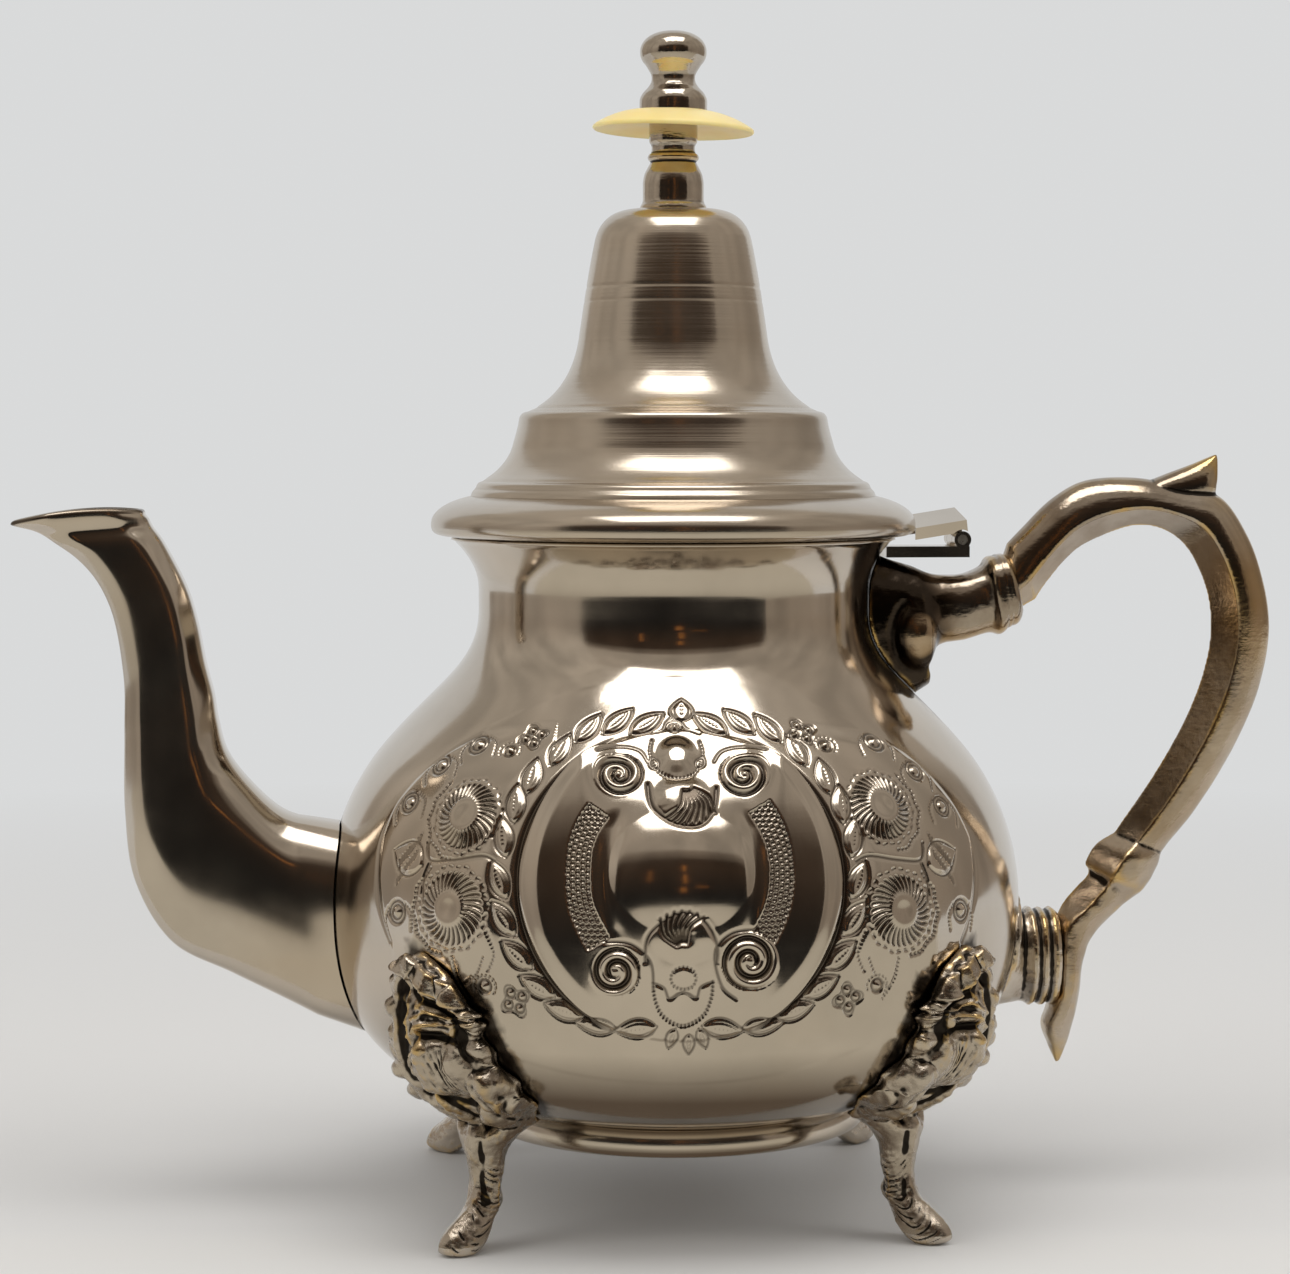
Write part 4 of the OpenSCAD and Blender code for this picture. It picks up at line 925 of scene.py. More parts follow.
collar_top = np.array([belly_r - 2.1, belly_z + 67.6])
collar_bottom = np.array([belly_r + 1.6, belly_z + 56.0])
upper_rows = widened(upper_bracket_w, [
    [-20.6, 65.8, -17.6, 42.0, -0.9],
    [-16.4, 64.3, -16.4, 49.4, -2.3],
    [-10.7, 64.3, -10.2, 51.0, -3.1],
    [-6.4, 66.0, -5.4, 52.4, -3.1],
    [-5.0, 67.6, -3.0, 52.4, -2.3],
    [-3.2, 68.3, -0.6, 53.6, -2.1],
    [-2.2, 67.9, 1.1, 54.9, -2.8]])
grip_rows = widened(grip_w, [
    [-1.2, 70.4, 4.6, 59.0, -0.4],
    [1.9, 73.6, 7.4, 63.0, -0.2],
    [8.0, 79.5, 12.6, 68.8, 0],
    [15.0, 83.1, 18.2, 71.8, 0],
    [25.0, 83.6, 25.2, 73.9, 0],
    [34.5, 81.7, 31.0, 73.0, 0],
    [42.6, 79.6, 35.6, 69.6, 0],
    [48.3, 71.8, 38.8, 64.0, 0],
    [51.8, 62.0, 40.6, 58.0, 0],
    [53.0, 52.6, 40.9, 51.6, 0],
    [51.6, 42.9, 39.6, 44.4, 0],
    [48.2, 33.4, 36.9, 36.8, 0],
    [43.2, 24.0, 32.7, 28.6, 0],
    [37.6, 15.4, 27.7, 20.5, -0.1],
    [32.6, 9.4, 22.9, 13.6, -0.3]])
lower_rows = widened(grip_w, [
    [31.0, 7.2, 21.4, 11.4, -0.5],
    [30.2, 4.6, 17.6, 9.0, 0.9],
    [27.6, 0.0, 15.5, 5.4, 0.9],
    [23.8, -3.0, 16.0, 3.0, -0.9],
    [19.8, -6.4, 11.6, -1.9, -0.7],
    [16.4, -10.4, 9.6, -6.2, -0.5],
    [14.8, -15.4, 9.5, -13.2, -0.4],
    [14.3, -20.4, 9.3, -20.2, -0.6],
    [13.6, -24.8, 8.0, -24.2, -1.0],
    [12.8, -28.0, 6.8, -28.0, -1.6],
    [11.9, -31.4, 8.2, -32.2, -2.9],
    [10.5, -35.4, 9.6, -35.7, -5.1]])
spur_rows = [
    [26.0, 82.2, 27.5, 79.5, 3.4],
    [31.5, 84.4, 33.5, 78.0, 3.6],
    [36.4, 86.2, 40.4, 79.0, 3.0],
    [39.8, 87.6, 41.8, 82.0, 1.9],
    [41.8, 88.4, 42.0, 86.4, 0.6]]


def plane_rings(unit, rows, count):
    """Rings across the handle's plane along a table's smooth rows. unit may change with the row number."""
    out = []
    for s in np.linspace(0, len(rows) - 1, count):
        r = row_at(rows, s)
        section = unit(s) if callable(unit) else unit
        out.append(cross_ring(section, np.array([belly_r + r[0], belly_z + r[1]]),
                              np.array([belly_r + r[2], belly_z + r[3]]), r[4]))
    return out


def blunted(s):
    """The grip's keel goes blunt on its tail."""
    k = min(1.0, max(0.0, (s - 4) / 1.5))
    return keel_section(72, 1) * k + keel_section(72, 0) * (1 - k)


def make_grip():
    keel = keel_section(72, 0)
    joint = cross_ring(keel, collar_top, collar_bottom + np.array([-0.3, 1.2]), grip_w - 0.6)
    main = grid([joint] + plane_rings(keel, grip_rows, 150) + plane_rings(blunted, lower_rows, 130), True)
    spur = grid(plane_rings(square_section(32, 2.2), spur_rows, 40), True)
    grip = fused(mesh("handle_grip_skin", *joined([main, spur])), 0.3, 4)

    def height(p):
        low = 1 - step(p[:, 2], belly_z + 2, belly_z + 14)
        return 0.05 * noise(p, 5.5, 3) + low * (0.03 + 0.12 * noise(p, 2.2, 8))

    sculpt(grip, height)
    p, _, _ = vertex_arrays(grip.data)
    x, z = p[:, 0] - belly_r, p[:, 2] - belly_z
    gild = 0.7 * hump(z - 58, 17) * step(x, 36, 46)
    mark(grip, stain=0.10 + 0.24 * step(z, 45, 76) + 0.14 * noise(p, 9.0, 15),
         gild=np.maximum(gild, 0.22 * (1 - step(z, 56, 80))), polish=0.3 + 0.7 * step(z, 40, 72))
    return grip


def make_upper_bracket():
    unit = square_section(64, 2.6)
    top, bottom = neck_z + upper_root_rise, neck_z - upper_root_drop
    root = seated(unit, (top + bottom) / 2, upper_bracket_w, (top - bottom) / 2)
    joint = cross_ring(unit, collar_top, collar_bottom, upper_bracket_w - 3.4)
    main = grid(root + plane_rings(unit, upper_rows, 80) + [joint], True)
    bracket = fused(mesh("handle_upper_bracket_skin", *main), 0.3, 4)

    def lobe_place(p):
        """How far a point is from the middle of the scroll's lobe, where 1 is its rim."""
        return np.hypot((p[:, 0] - belly_r + 20.6) / 3.4, (p[:, 2] - belly_z - 52.4) / 4.6)

    def height(p):
        x = p[:, 0] - belly_r
        near_root = 1 - step(x, -17, -12)
        lobe = lobe_place(p)
        groove = hump(lobe - 1.6, 0.3) * (1 - step(x + 0.5 * (p[:, 2] - belly_z - 52), -21, -18))
        scroll = 1.5 * np.exp(-1.1 * lobe**2) - 0.6 * groove
        across = x + 0.18 * (p[:, 2] - belly_z - 60)
        collar = hump(across + 4.2, 1.0) + 0.8 * hump(across + 0.6, 0.9)
        dents = hump(across + 2.6, 0.3) + hump(across + 1.6, 0.25)
        return (0.10 * noise(p, 3.4, 11) + 0.03 * noise(p, 1.2, 12) + near_root * scroll
                + 0.35 * collar - 0.15 * dents)

    lobe = lobe_place(vertex_arrays(bracket.data)[0])
    sculpt(bracket, height)
    p, n, _ = vertex_arrays(bracket.data)
    x = p[:, 0] - belly_r
    from_root = x + 0.25 * (p[:, 2] - belly_z - 60) + 1.5 * noise(p, 4, 13)
    on_lobe = np.maximum(0, 1 - lobe**4)
    # painted warm reflection: faces that look down, away from the root, are coloured brass as a glint of the
    # table below; the brass on the lobe is wear
    under = step(-n[:, 2], 0.35, 0.8) * step(x, -19, -15)
    mark(bracket, stain=(1 - 0.62 * step(from_root, -19, -13)) * (1 - 0.8 * on_lobe),
         gild=np.maximum(0.75 * under, 0.5 * on_lobe), polish=0.8)
    return bracket


def make_lower_bracket():
    unit = square_section(96, 2.2)
    z = belly_z - barrel_drop
    root = seated(unit, z + 1.4, barrel_w + 1, barrel_h + 1.8)
    last = root[-1]
    flange = columns(last[:, 0] + 1.1, last[:, 1] * 0.98, z + (last[:, 2] - z) * 0.97)
    waist = columns(belly_r + 1.6, unit[:, 1] * (barrel_w - 1.2),
                    z + unit[:, 0] * (barrel_h - 0.9))
    barrel = []
    for t in np.linspace(0, 1, 90):
        x = belly_r + 2.6 + (barrel_l - 2.6) * t
        k = 1 - rib_depth * (0.5 + 0.5 * math.cos(math.tau * barrel_ribs * t)) / barrel_h
        barrel.append(columns(x, unit[:, 1] * barrel_w * k, z + unit[:, 0] * barrel_h * k))
    rings = root + [flange, waist] + barrel
    bracket = fused(mesh("handle_lower_bracket_skin", *grid(rings, True)), 0.28, 2)
    sculpt(bracket, lambda p: 0.14 * noise(p, 2.6, 21) + 0.06 * noise(p, 1.0, 22))
    mark(bracket, polish=0.5)
    return bracket


grip = make_grip()
upper_bracket = make_upper_bracket()
lower_bracket = make_lower_bracket()

# ---- legs ----

ankle_in = ankle_reach - ankle_d / 2
heel_reach = ankle_reach + 0.6
leg_rows = [
    [0, sole_l - 1, ankle_d / 2 - 0.4, heel_reach + 0.7],
    [1.2, sole_l + 1, ankle_d / 2 + 0.1, heel_reach - 0.2],
    [3.6, sole_l + 0.6, ankle_d / 2 + 0.2, heel_reach - 0.9],
    [6.0, sole_l - 1.2, ankle_d / 2 + 0.1, heel_reach - 2.0],
    [8.5, ankle_d + 0.9, ankle_d / 2, ankle_in - 0.1],
    [12.0, ankle_d, ankle_d / 2, ankle_in],
    [15.5, ankle_d, ankle_d / 2, ankle_in],
    [19.0, ankle_d + 1.4, ankle_d / 2 + 0.8, ankle_in - 0.5],
    [23.0, knee_thick + 4.0, leaf_w * 0.52, ankle_in - 2.5],
    [27.0, knee_thick + 3.6, leaf_w * 0.80, ankle_in - 6],
    [31.5, knee_thick + 2.2, leaf_w, ankle_in - 12],
    [36.5, knee_thick + 0.8, leaf_w * 0.93, 0],
    [42.0, knee_thick, leaf_w * 0.80, 0],
    [48.0, knee_thick - 1.4, leaf_w * 0.78, 0],
    [leaf_top_z - 5.5, knee_thick - 2.4, leaf_w * 0.74, 0],
    [leaf_top_z - 2.0, knee_thick - 3.6, leaf_w * 0.46, 0],
    [leaf_top_z, knee_thick - 4.8, leaf_w * 0.24, 0]]


def leg_ring(share):
    """One level ring of a leg that points along +X, share of the way up."""
    r = row_at(leg_rows, (len(leg_rows) - 1) * share)
    z = max(0.0, min(r[0], leaf_top_z))
    leaf = min(1.0, max(0.0, (z - leaf_low_z) / 5))
    w = r[2] * (1 + 0.06 * math.cos(math.radians(z * 62)) if 24 < z < leaf_top_z - 3 else 1.0)
    inner_r = max((body_r(z) if z > base_z + 1 else 0) + pad_gap, r[3])
    s = np.linspace(-1, 1, 40)
    t = s * w
    arch = np.sqrt(np.maximum(0, 1 - s * s))
    swell = (0.30 + 0.70 * arch - 0.16 * np.sin(math.pi * np.minimum(1, np.abs(s) * 1.25))
             + 0.10 * np.cos(3 * math.pi * s)) * np.where(np.abs(s) > 0.999, 0.35, 1)
    seat = np.sqrt(inner_r**2 - t * t)
    back = seat + (1 - leaf) * r[1] / 2 * (1 - arch)
    front = seat + np.maximum(0.5, leaf * r[1] * swell + (1 - leaf) * r[1] / 2 * (1 + arch))
    return np.vstack([columns(back, t, z), columns(front, t, z)[::-1]])


def bump_at(t, z, place, size, height):
    """A rounded lump or, with a negative height, a hollow on the leaf."""
    rho2 = ((t - place[0]) / size[0]) ** 2 + ((z - place[1]) / size[1]) ** 2
    return height * np.maximum(0, 1 - rho2) ** 0.8


def crest_along(t, z, points, width):
    """1 on a bent line through several places on the leaf, falling off to its sides."""
    crests = []
    for a, b in zip(points[:-1], points[1:]):
        dt, dz = b[0] - a[0], b[1] - a[1]
        length = math.hypot(dt, dz)
        u = np.clip(((t - a[0]) * dt + (z - a[1]) * dz) / length, 0, length)
        crests.append(hump(np.hypot(t - a[0] - u * dt / length, z - a[1] - u * dz / length), width))
    return np.max(crests, axis=0)


# heights and widths of the leaf's veins and, below 0, of its folds and cracks, with their bent lines
leaf_lines = [
    (1.1, 0.62, [(-4.6, 53.5), (-2.6, 47.0), (-4.4, 36.0)]),
    (0.7, 0.6, [(-2.4, 45.5), (1.5, 49.0), (6.0, 49.5)]),
    (0.5, 0.5, [(-3.0, 42.5), (1.0, 45.6), (6.4, 46.2)]),
    (-1.3, 1.3, [(-6.0, 51.8), (7.0, 51.8)]),
    (-1.3, 0.9, [(7.4, 51.0), (8.6, 44.5), (9.6, 39.5)]),
    (-1.3, 0.8, [(-3.6, 40.0), (0.5, 43.4), (7.5, 42.6)]),
    (-1.1, 1.2, [(-6.4, 50.0), (-6.0, 42.0), (-7.4, 33.0)]),
    (-1.2, 0.8, [(-6.5, 29.5), (-1.0, 31.8), (4.0, 29.0), (8.0, 31.0)]),
    (-0.9, 0.7, [(1.5, 30.0), (3.0, 22.0)])]
# places, half sizes and heights of its lumps
leaf_lumps = [
    ((3.0, 36.6), (7.0, 5.6), 2.0), ((-4.6, 26.4), (3.4, 3.2), 1.0), ((6.4, 26.6), (2.6, 3.0), 1.3),
    ((1.0, 47.4), (3.0, 1.8), -0.7), ((-2.4, 40.0), (1.5, 1.5), 0.75), ((0.4, 41.2), (1.4, 1.4), 0.75),
    ((-4.2, 37.4), (1.5, 1.5), 0.75), ((-2.2, 36.2), (1.3, 1.3), 0.75)]
leaf_lumps += [(place, (2.0, 2.0), 1.1)
               for place in ((-11.4, 29.5), (-11.4, 34.0), (-10.8, 38.4), (-10.2, 42.6), (-9.4, 47.5))]


def leaf_relief(p, seed, side):
    """Relief of the cast leaf and shank, for a leg that points along +X; side mirrors it.

    Returns the height in mm and how dark the hollows are, from 0 to 1."""
    z, t = p[:, 2], side * p[:, 1]
    up = step(z, leaf_low_z - 1, leaf_low_z + 4)
    outward = step(np.hypot(p[:, 0], t) - body_r(z), 0.8, 2.2)
    u, v = t + 9, z - 55.8 - 0.04 * t
    plate = (1 - step(np.abs(v), 1.5, 2.1)) * step(u, -0.5, 0.5) * (1 - step(u, 17.0, 18.0))
    flutes = 1.9 - 0.9 * ((u / 4.6) % 1.0)
    crest = crest_along(t, z, [(9.0, 53.5), (10.6, 44.0), (12.0, 37.5)], 1.0)
    fan = 2.0 + 0.45 * np.cos(14 * np.arctan2(t - 11.0, z - 27.0))
    hatch = np.cos(math.tau * (t + 0.22 * z) / 1.05)
    leaf = (plate * flutes + 1.3 * crest * (0.8 + 0.2 * np.sign(np.cos(2.0 * z)))
            + bump_at(t, z, (11.2, 32.6), (3.2, 4.6), fan)
            + bump_at(t, z, (3.0, 36.6), (7.0, 5.0), 0.10 * hatch)
            + 0.30 * noise(p, 3.2, seed) + 0.24 * noise(p, 1.5, seed + 1))
    for height, width, points in leaf_lines:
        leaf = leaf + height * crest_along(t, z, points, width)
    for place, size, height in leaf_lumps:
        leaf = leaf + bump_at(t, z, place, size, height)
    cut = crest_along(t, z, [(2.6, 21.0), (1.4, 14.0), (2.4, 9.0)], 0.9)
    cut = cut * (0.75 + 0.4 * noise(p, 1.6, seed + 4))
    ridge = 0.8 * np.maximum(0, 1 - np.abs(t - 0.22 * (z - 6)) / 3.0) * (1 - step(z, 9.5, 12.5))
    strokes = np.cos(math.tau * (0.7 * z + 0.7 * t + 0.3 * noise(p, 2.5, seed + 5)) / 0.9)
    files = strokes * step(t, 0.7, 1.7) * (1 - step(z, 14, 19)) * (0.6 + 0.5 * noise(p, 1.9, seed + 6))
    shank = ridge + 0.07 * files - 0.45 * cut + 0.14 * noise(p, 2.2, seed + 2)
    height = (up * outward * leaf + (1 - up) * shank + 0.09 * noise(p, 0.8, seed + 3)) * step(z, 0.1, 1.5)
    dark_shank = np.maximum(step(cut, 0.45, 0.9), 0.8 * step(-files, 0.45, 0.8))
    return height, up * outward * step(-leaf, 0.2, 1.0) + (1 - up) * dark_shank


def make_leg(name, angle, seed, side, lean):
    """A cast leg. Its leaf leans by lean degrees and falls off to one side; its heel lifts off the floor."""
    leg = fused(mesh(name, *grid([leg_ring(s) for s in np.linspace(0, 1, 150)], True)), 0.26, 2)
    softened(leg, lambda q: 1 - step(q[:, 2], 12, 16), 40)
    dark = leaf_relief(vertex_arrays(leg.data)[0], seed, side)[1]
    sculpt(leg, lambda q: leaf_relief(q, seed, side)[0])
    p, _, _ = vertex_arrays(leg.data)
    p[:, 2] = np.clip(p[:, 2], 0, leaf_top_z + 0.4)
    t = side * p[:, 1]
    p[:, 2] -= 6.0 * step(t, -7, 9) * step(p[:, 2], leaf_top_z - 15, leaf_top_z - 3)
    heel = step(heel_reach + 0.5 * sole_l - p[:, 0] + 0.4 * t, 0, sole_l * 0.7)
    p[:, 2] += 2.6 * heel * np.maximum(0, 1 - p[:, 2] / 10)
    p[:, 0] += 1.3 * step(ankle_reach + 1 - p[:, 0], 0, 3) * hump(p[:, 2] - 10.5, 3.2)
    turn = math.radians(angle) + math.radians(lean) * step(p[:, 2], leaf_lean_z, leaf_top_z)
    c, s = np.cos(turn), np.sin(turn)
    set_points(leg, columns(c * p[:, 0] - s * p[:, 1], s * p[:, 0] + c * p[:, 1], p[:, 2]))
    age(leg, 0.9, dark)
    mark(leg, polish=0)
    return leg


legs = {name: make_leg(name + "_skin", *place) for name, place in leg_places.items()}

# ---- materials ----


class Nodes:
    """Short calls for the nodes of a material, or of the world."""

    def __init__(self, name, owner=None):
        self.owner = owner or bpy.data.materials.new(name)
        self.owner.use_nodes = True
        self.tree = self.owner.node_tree
        self.shader = self.tree.nodes.get("Principled BSDF")

    def put(self, node, key, value):
        """Gives a node's input a value or a link. A colour of three numbers gets its alpha."""
        socket = node.inputs[key]
        if hasattr(value, "is_output"):
            self.tree.links.new(value, socket)
        elif socket.type == "RGBA":
            socket.default_value = (*value, 1)
        else:
            socket.default_value = value

    def add(self, kind, inputs=None, **settings):
        node = self.tree.nodes.new(kind)
        for key, value in settings.items():
            setattr(node, key, value)
        for key, value in (inputs or {}).items():
            self.put(node, key, value)
        return node

    def attribute(self, name):
        return self.add("ShaderNodeAttribute", attribute_name=name).outputs["Fac"]

    def here(self):
        return self.add("ShaderNodeTexCoord").outputs["Object"]

    def away(self):
        """Distance from the middle of the pot's foot."""
        return self.add("ShaderNodeVectorMath", {0: self.here()}, operation="LENGTH").outputs["Value"]

    def seen(self):
        """1 for what the camera sees, directly, mirrored or through something, and 0 for other light."""
        path = self.add("ShaderNodeLightPath").outputs
        seen = self.math("MAXIMUM", path["Is Camera Ray"], path["Is Glossy Ray"])
        return self.math("MAXIMUM", seen, path["Is Transmission Ray"])

    def noise(self, scale, detail=3.0, stretch=(1, 1, 1), rough=0.55):
        place = self.add("ShaderNodeVectorMath", {0: self.here(), 1: stretch}, operation="MULTIPLY")
        return self.add("ShaderNodeTexNoise", {"Vector": place.outputs[0], "Scale": scale, "Detail": detail,
                                               "Roughness": rough}).outputs["Fac"]

    def ramp(self, value, low, high, out_low=0.0, out_high=1.0):
        return self.add("ShaderNodeMapRange", {"Value": value, "From Min": low, "From Max": high,
                                               "To Min": out_low, "To Max": out_high}).outputs["Result"]

    def math(self, kind, a, b):
        return self.add("ShaderNodeMath", {0: a, 1: b}, operation=kind).outputs[0]

    def plus(self, a, b):
        return self.math("ADD", a, b)

    def times(self, a, b):
        return self.math("MULTIPLY", a, b)

    def mix(self, share, a, b):
        return self.add("ShaderNodeMix", {"Factor": share, 6: a, 7: b}, data_type="RGBA").outputs[2]

    def bump(self, *layers):
        """Bump layers of (height, distance in metres, strength), one on the other."""
        normal = None
        for height, distance, strength in layers:
            node = self.add("ShaderNodeBump", {"Height": height, "Distance": distance, "Strength": strength})
            if normal is not None:
                self.put(node, "Normal", normal)
            normal = node.outputs["Normal"]
        return normal

    def coated(self, base, rough, normal, metallic=1.0):
        """The finished material, from what its surface needs."""
        finish = {"Base Color": base, "Roughness": rough, "Normal": normal, "Metallic": metallic}
        for key, value in finish.items():
            self.put(self.shader, key, value)
        return self.owner

    def surface(self, light):
        self.tree.links.new(light.outputs[0], self.tree.nodes["Material Output"].inputs["Surface"])
        return self.owner

    def emission(self, colour, strength=1.0):
        return self.add("ShaderNodeEmission", {"Color": colour, "Strength": strength})

    def glowing(self, colour, strength=1.0):
        """The finished material, if it only glows."""
        self.tree.nodes.remove(self.shader)
        return self.surface(self.emission(colour, strength))


def nickel_material(name, cast):
    """Nickel silver: spun and polished, or cast with dark hollows and brassy worn edges."""
    m = Nodes(name)
    nickel = (0.63, 0.56, 0.475)
    grey = (0.54, 0.48, 0.405)
    bronze = (0.25, 0.19, 0.137)
    brass = (0.66, 0.45, 0.17)
    tarnish = (0.020, 0.016, 0.013)
    cloud = m.noise(38.0, 4.0)
    base = m.mix(m.ramp(cloud, 0.35, 0.7), nickel, grey)
    hollow, worn, stain = m.attribute("hollow"), m.attribute("worn"), m.attribute("stain")
    if cast:
        patch, pits = m.noise(120.0, 5.0), m.noise(520.0, 6.0, rough=0.65)
        polish, gild = m.attribute("polish"), m.attribute("gild")
        browned = m.plus(m.ramp(patch, 0.38, 0.66, 0.0, 0.40), m.times(stain, 1.1))
        base = m.mix(m.math("MINIMUM", browned, 1.0), base, bronze)
        base = m.mix(m.ramp(stain, 0.45, 1.0, 0.0, 0.9), base, (0.030, 0.023, 0.018))
        # brass where the metal is worn, and on the upper bracket's down-facing faces a painted warm
        # reflection
        base = m.mix(m.times(gild, m.ramp(m.noise(70.0), 0.3, 0.6, 0.5, 1.0)), base, (0.52, 0.33, 0.13))
        dark = m.plus(hollow, m.times(pits, 0.55))
        base = m.mix(m.ramp(dark, 0.42, 0.72, 0.0, 0.97), base, tarnish)
        edge = m.times(m.ramp(worn, 0.16, 0.6, 0.0, 0.8), m.ramp(m.noise(90.0), 0.42, 0.62))
        base = m.mix(edge, base, brass)
        dull = m.ramp(polish, 0.0, 1.0, 1.0, 0.25)
        rough = m.times(m.ramp(m.noise(220.0, 4.0), 0.3, 0.7, 0.10, 0.24), dull)
        rough = m.plus(m.plus(rough, m.times(hollow, 0.3)), 0.06)
        files = m.noise(1.0, 3.0, (300, 300, 1500))
        normal = m.bump((pits, 0.00028, m.times(dull, 0.6)), (files, 0.00008, 0.4),
                        (m.noise(300.0, 3.0), 0.0002, m.times(dull, 0.3)))
    else:
        base = m.mix(m.ramp(hollow, 0.2, 0.9, 0.0, 0.9), base, (0.06, 0.046, 0.036))
        base = m.mix(m.ramp(stain, 0.15, 0.9, 0.0, 0.94), base, (0.030, 0.023, 0.018))
        film = m.noise(14.0, 5.0, (1, 1, 1.8))
        base = m.mix(m.ramp(film, 0.5, 0.72, 0.0, 0.30), base, (0.58, 0.44, 0.29))
        grime = m.times(m.math("MAXIMUM", hollow, stain), 0.14)
        lathe = m.attribute("lathe")
        rough = m.plus(m.ramp(m.noise(60.0, 5.0), 0.35, 0.7, 0.09, 0.17), grime)
        rough = m.plus(rough, m.times(lathe, 0.09))
        lines, bands = m.noise(1.0, 3.0, (24, 24, 2600)), m.noise(1.0, 2.0, (12, 12, 700))
        turning = m.times(m.plus(lathe, 0.06), 0.5)
        scratches = m.noise(1.0, 2.0, (900, 900, 60))
        normal = m.bump((lines, 0.00005, turning), (bands, 0.00006, turning), (scratches, 0.00003, 0.18),
                        (m.noise(26.0, 2.0), 0.0006, 0.14))
    return m.coated(base, rough, normal)


def disc_material():
    m = Nodes("cream_disc")
    base = m.mix(m.ramp(m.noise(55.0, 3.0), 0.35, 0.7), (0.93, 0.67, 0.22), (0.97, 0.79, 0.42))
    base = m.mix(m.ramp(m.noise(400.0, 4.0), 0.62, 0.8, 0.0, 0.35), base, (0.55, 0.40, 0.20))
    m.put(m.shader, "Subsurface Weight", 0.35)
    m.put(m.shader, "Subsurface Radius", (0.006, 0.004, 0.002))
    m.put(m.shader, "Subsurface Scale", 1.0)
    return m.coated(base, m.ramp(m.noise(150.0), 0.3, 0.7, 0.30, 0.42),
                    m.bump((m.noise(500.0, 3.0), 0.0001, 0.2)), 0.0)


def steel_material():
    m = Nodes("steel")
    return m.coated(m.mix(m.noise(300.0, 3.0), (0.50, 0.49, 0.47), (0.38, 0.36, 0.33)),
                    m.ramp(m.noise(500.0), 0.3, 0.7, 0.25, 0.4),
                    m.bump((m.noise(1200.0, 2.0), 0.00005, 0.25)))


spun = nickel_material("nickel_silver", False)
casting = nickel_material("cast_nickel_silver", True)
cream = disc_material()
steel = steel_material()

# ---- what stands for what ----

pieces = [
    (body, ["body"], "pot", spun, "nickel_silver", None),
    (body_inside, ["body"], "pot", spun, "nickel_silver", 6.0),
    (foot_ring, ["foot_ring"], "pot", spun, "nickel_silver", 3.0),
    (spout, ["spout"], "pot", spun, "nickel_silver", 1.5),
    (grip, ["handle_grip"], "pot", casting, "cast_nickel_silver", 2.4),
    (upper_bracket, ["handle_upper_bracket"], "pot", casting, "cast_nickel_silver", 1.2),
    (lower_bracket, ["handle_lower_bracket"], "pot", casting, "cast_nickel_silver", 1.2),
    (lid_rim, ["lid_rim"], "lid", spun, "nickel_silver", 2.0),
    (lid_dome, ["lid_dome"], "lid", spun, "nickel_silver", 1.2),
    (stem, ["finial_stem"], "lid", casting, "cast_nickel_silver", 0.8),
    (disc, ["finial_disc"], "lid", cream, "cream_disc", 1.0),
    (knob, ["finial_knob"], "lid", casting, "cast_nickel_silver", 0.8)]
pieces += [(leg, [name], "pot", casting, "cast_nickel_silver", None) for name, leg in legs.items()]

for obj in (stem, knob):
    mark(obj, polish=1)
lathe_marks = {"lid_rim_skin": 0.8, "lid_dome_skin": 1.0, "foot_ring_skin": 0.5, "spout_skin": -0.06}

for obj, nodes, carrier, material, slot, sharp in pieces:
    if sharp is not None:
        age(obj, sharp)
    if obj.name in lathe_marks:
        mark(obj, lathe=lathe_marks[obj.name])
    obj.data.materials.clear()
    obj.data.materials.append(material)
    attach(obj, carrier)
    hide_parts(*nodes)

for name, material in (("hinge_body_leaf", spun), ("hinge_lid_leaf", spun), ("lid_collar", spun),
                       ("hinge_pin", steel), ("finial_screw", steel), ("finial_washer", steel)):
    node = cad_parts[name]
    node.data.materials.clear()
    node.data.materials.append(material)

# ---- floor, backdrop and light ----


def sheet(name, points, material, camera=True):
    """A flat piece of the stage. points are in metres."""
    data = bpy.data.meshes.new(name)
    data.from_pydata(points, [], [list(range(len(points)))])
    data.materials.append(material)
    obj = bpy.data.objects.new(name, data)
    bpy.context.scene.collection.objects.link(obj)
    obj.visible_camera = camera
    return obj


def floor_material():
    """Pale floor that takes the shadow near the object and runs into the backdrop's colour farther off."""
    m = Nodes("floor")
    m.put(m.shader, "Base Color", (0.725, 0.728, 0.728))
    m.put(m.shader, "Roughness", 0.6)
    share = m.times(m.ramp(m.away(), 0.22, 0.75), m.seen())
    return m.surface(m.add("ShaderNodeMixShader", {0: share, 1: m.shader.outputs[0],
                                                   2: m.emission(backdrop).outputs[0]}))


backdrop = (0.695, 0.702, 0.704)
floor = sheet("floor", [(-6, -6, 0), (6, -6, 0), (6, 6, 0), (-6, 6, 0)], floor_material())

# the light tent that the metal reflects, in metres: pale cloth, darker below, and a dark room in front
w, near, far, top = 1.2, -0.87, 1.3, 1.85
opening_top, hem_top = 0.66, 0.84


def cloth_material(name, low, high, low_z=0.15, high_z=0.75):
    """Glowing cloth with soft folds, coloured from low to high up its height."""
    m = Nodes(name)
    height = m.add("ShaderNodeSeparateXYZ", {0: m.here()}).outputs["Z"]
    folds = m.ramp(m.noise(1.6, 2.0, (2.2, 2.2, 0.7)), 0.35, 0.65, 0.80, 1.16)
    return m.glowing(m.mix(m.ramp(height, low_z, high_z), low, high), folds)


def table_material():
    """The warm table that the metal reflects, dark in the pot's own shadow and a little duller far off."""
    m = Nodes("table_front")
    away = m.away()
    colour = m.mix(m.ramp(away, 0.048, 0.088), (0.13, 0.102, 0.078), (0.62, 0.585, 0.505))
    return m.glowing(m.mix(m.ramp(away, 0.25, 0.9, 0.0, 0.5), colour, (0.40, 0.36, 0.30)))


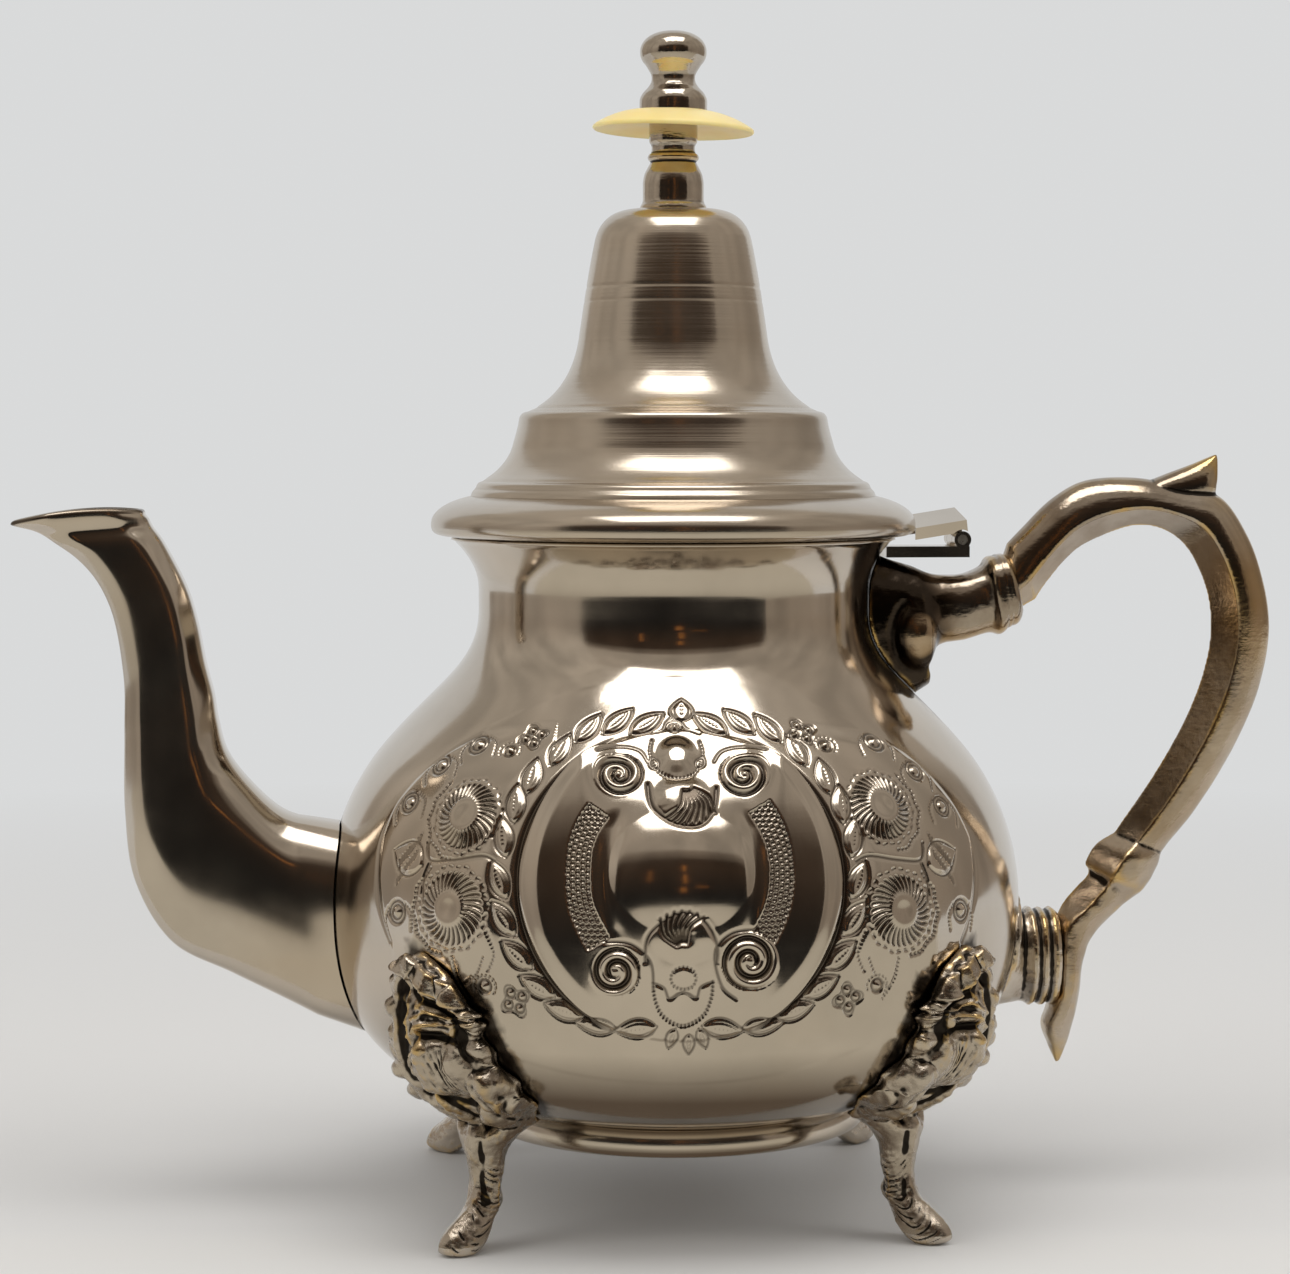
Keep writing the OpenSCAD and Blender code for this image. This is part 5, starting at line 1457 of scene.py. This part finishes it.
def tent_wall(name, corners, material):
    """A wall that only reflections see, turned to the camera's side of the pot."""
    turn = math.radians(medallion_turn)
    c, s = math.cos(turn), math.sin(turn)
    wall = sheet(name, [(c * x - s * y, s * x + c * y, z) for x, y, z in corners], material, camera=False)
    wall.visible_diffuse = False
    wall.visible_shadow = False


def upright(x0, x1, z0, z1, y=near):
    return [(x0, y, z0), (x1, y, z0), (x1, y, z1), (x0, y, z1)]


room = cloth_material("dark_room", (0.017, 0.016, 0.015), (0.050, 0.034, 0.024), 0.10, 0.5)
hem = cloth_material("tent_hem", (0.10, 0.078, 0.060), (0.24, 0.20, 0.165), opening_top, hem_top)
pale = cloth_material("tent_cloth", (0.36, 0.315, 0.27), (0.48, 0.435, 0.38))
shaded = cloth_material("tent_shaded", (0.315, 0.267, 0.222), (0.41, 0.365, 0.315))
tent_wall("dark_room", upright(-w, w, 0.0, opening_top), room)
tent_wall("tent_hem", upright(-w, w, opening_top, hem_top), hem)
tent_wall("tent_front", upright(-w, w, hem_top, top), shaded)
tent_wall("tent_left", [(-w, near, 0), (-w, far, 0), (-w, far, top), (-w, near, top)], pale)
tent_wall("tent_right", [(w, near, 0), (w, far, 0), (w, far, top), (w, near, top)], shaded)
tent_wall("tent_roof", [(-w, near, top), (w, near, top), (w, far, top), (-w, far, top)], pale)
tent_wall("table_front", [(-w, near, 0.002), (w, near, 0.002), (w, -0.03, 0.002), (-w, -0.03, 0.002)],
          table_material())
ember = Nodes("lamp_in_the_room").glowing((0.42, 0.17, 0.05))
for i, (x, z, wide, tall) in enumerate((
        (0.02, 0.16, 0.05, 0.05), (0.05, 0.27, 0.03, 0.12), (0.16, 0.22, 0.12, 0.012),
        (0.04, 0.44, 0.035, 0.09), (-0.30, 0.30, 0.02, 0.16))):
    tent_wall(f"ember_{i}", upright(x, x + wide, z, z + tall, near + 0.01), ember)


def area(name, place, aim, size, power, colour):
    """A rectangular lamp. Places and sizes are in metres."""
    light = bpy.data.lights.new(name, "AREA")
    light.shape, light.size, light.size_y = "RECTANGLE", *size
    light.energy, light.color = power, colour
    obj = bpy.data.objects.new(name, light)
    obj.location = place
    way = np.array(aim, float) - np.array(place, float)
    obj.rotation_mode = "QUATERNION"
    obj.rotation_quaternion = Vector(way).to_track_quat("-Z", "Y")
    bpy.context.scene.collection.objects.link(obj)
    return obj


area("overhead", (0.0, -0.42, 1.7), (0, 0, 0.1), (1.3, 0.85), 11, (1.0, 0.975, 0.94))
for name, place, power in (("left_fill", (-1.1, -0.5, 0.9), 5.0), ("right_fill", (1.1, -0.4, 0.9), 5.0)):
    area(name, place, (0, 0, 0.1), (0.8, 1.0), power, (1.0, 0.98, 0.95)).visible_glossy = False

studio = Nodes("studio", bpy.data.worlds.new("studio"))
bpy.context.scene.world = studio.owner
shade = studio.mix(studio.seen(), (0.46, 0.45, 0.44), backdrop)
studio.put(studio.tree.nodes["Background"], "Color", shade)

# ---- camera ----

camera_distance, camera_height, camera_pitch = 605.0, 152.5, math.radians(3.75)
camera_side, camera_turn = -5.6, math.radians(5.5)
sensor_mm, frame_px, focal_px = 36.0, 1290.0, 3031.0
c, s = math.cos(-camera_turn), math.sin(-camera_turn)
camera_data = bpy.data.cameras.new("camera")
camera_data.sensor_width = sensor_mm
camera_data.lens = sensor_mm * focal_px / frame_px
camera_data.clip_start, camera_data.clip_end = 0.05, 50
camera = bpy.data.objects.new("camera", camera_data)
camera.location = ((c * camera_side + s * camera_distance) * MM, (s * camera_side - c * camera_distance) * MM,
                   camera_height * MM)
camera.rotation_euler = (math.pi / 2 - camera_pitch, 0, -camera_turn)
bpy.context.scene.collection.objects.link(camera)
bpy.context.scene.camera = camera
bpy.context.scene.view_settings.view_transform = "Standard"
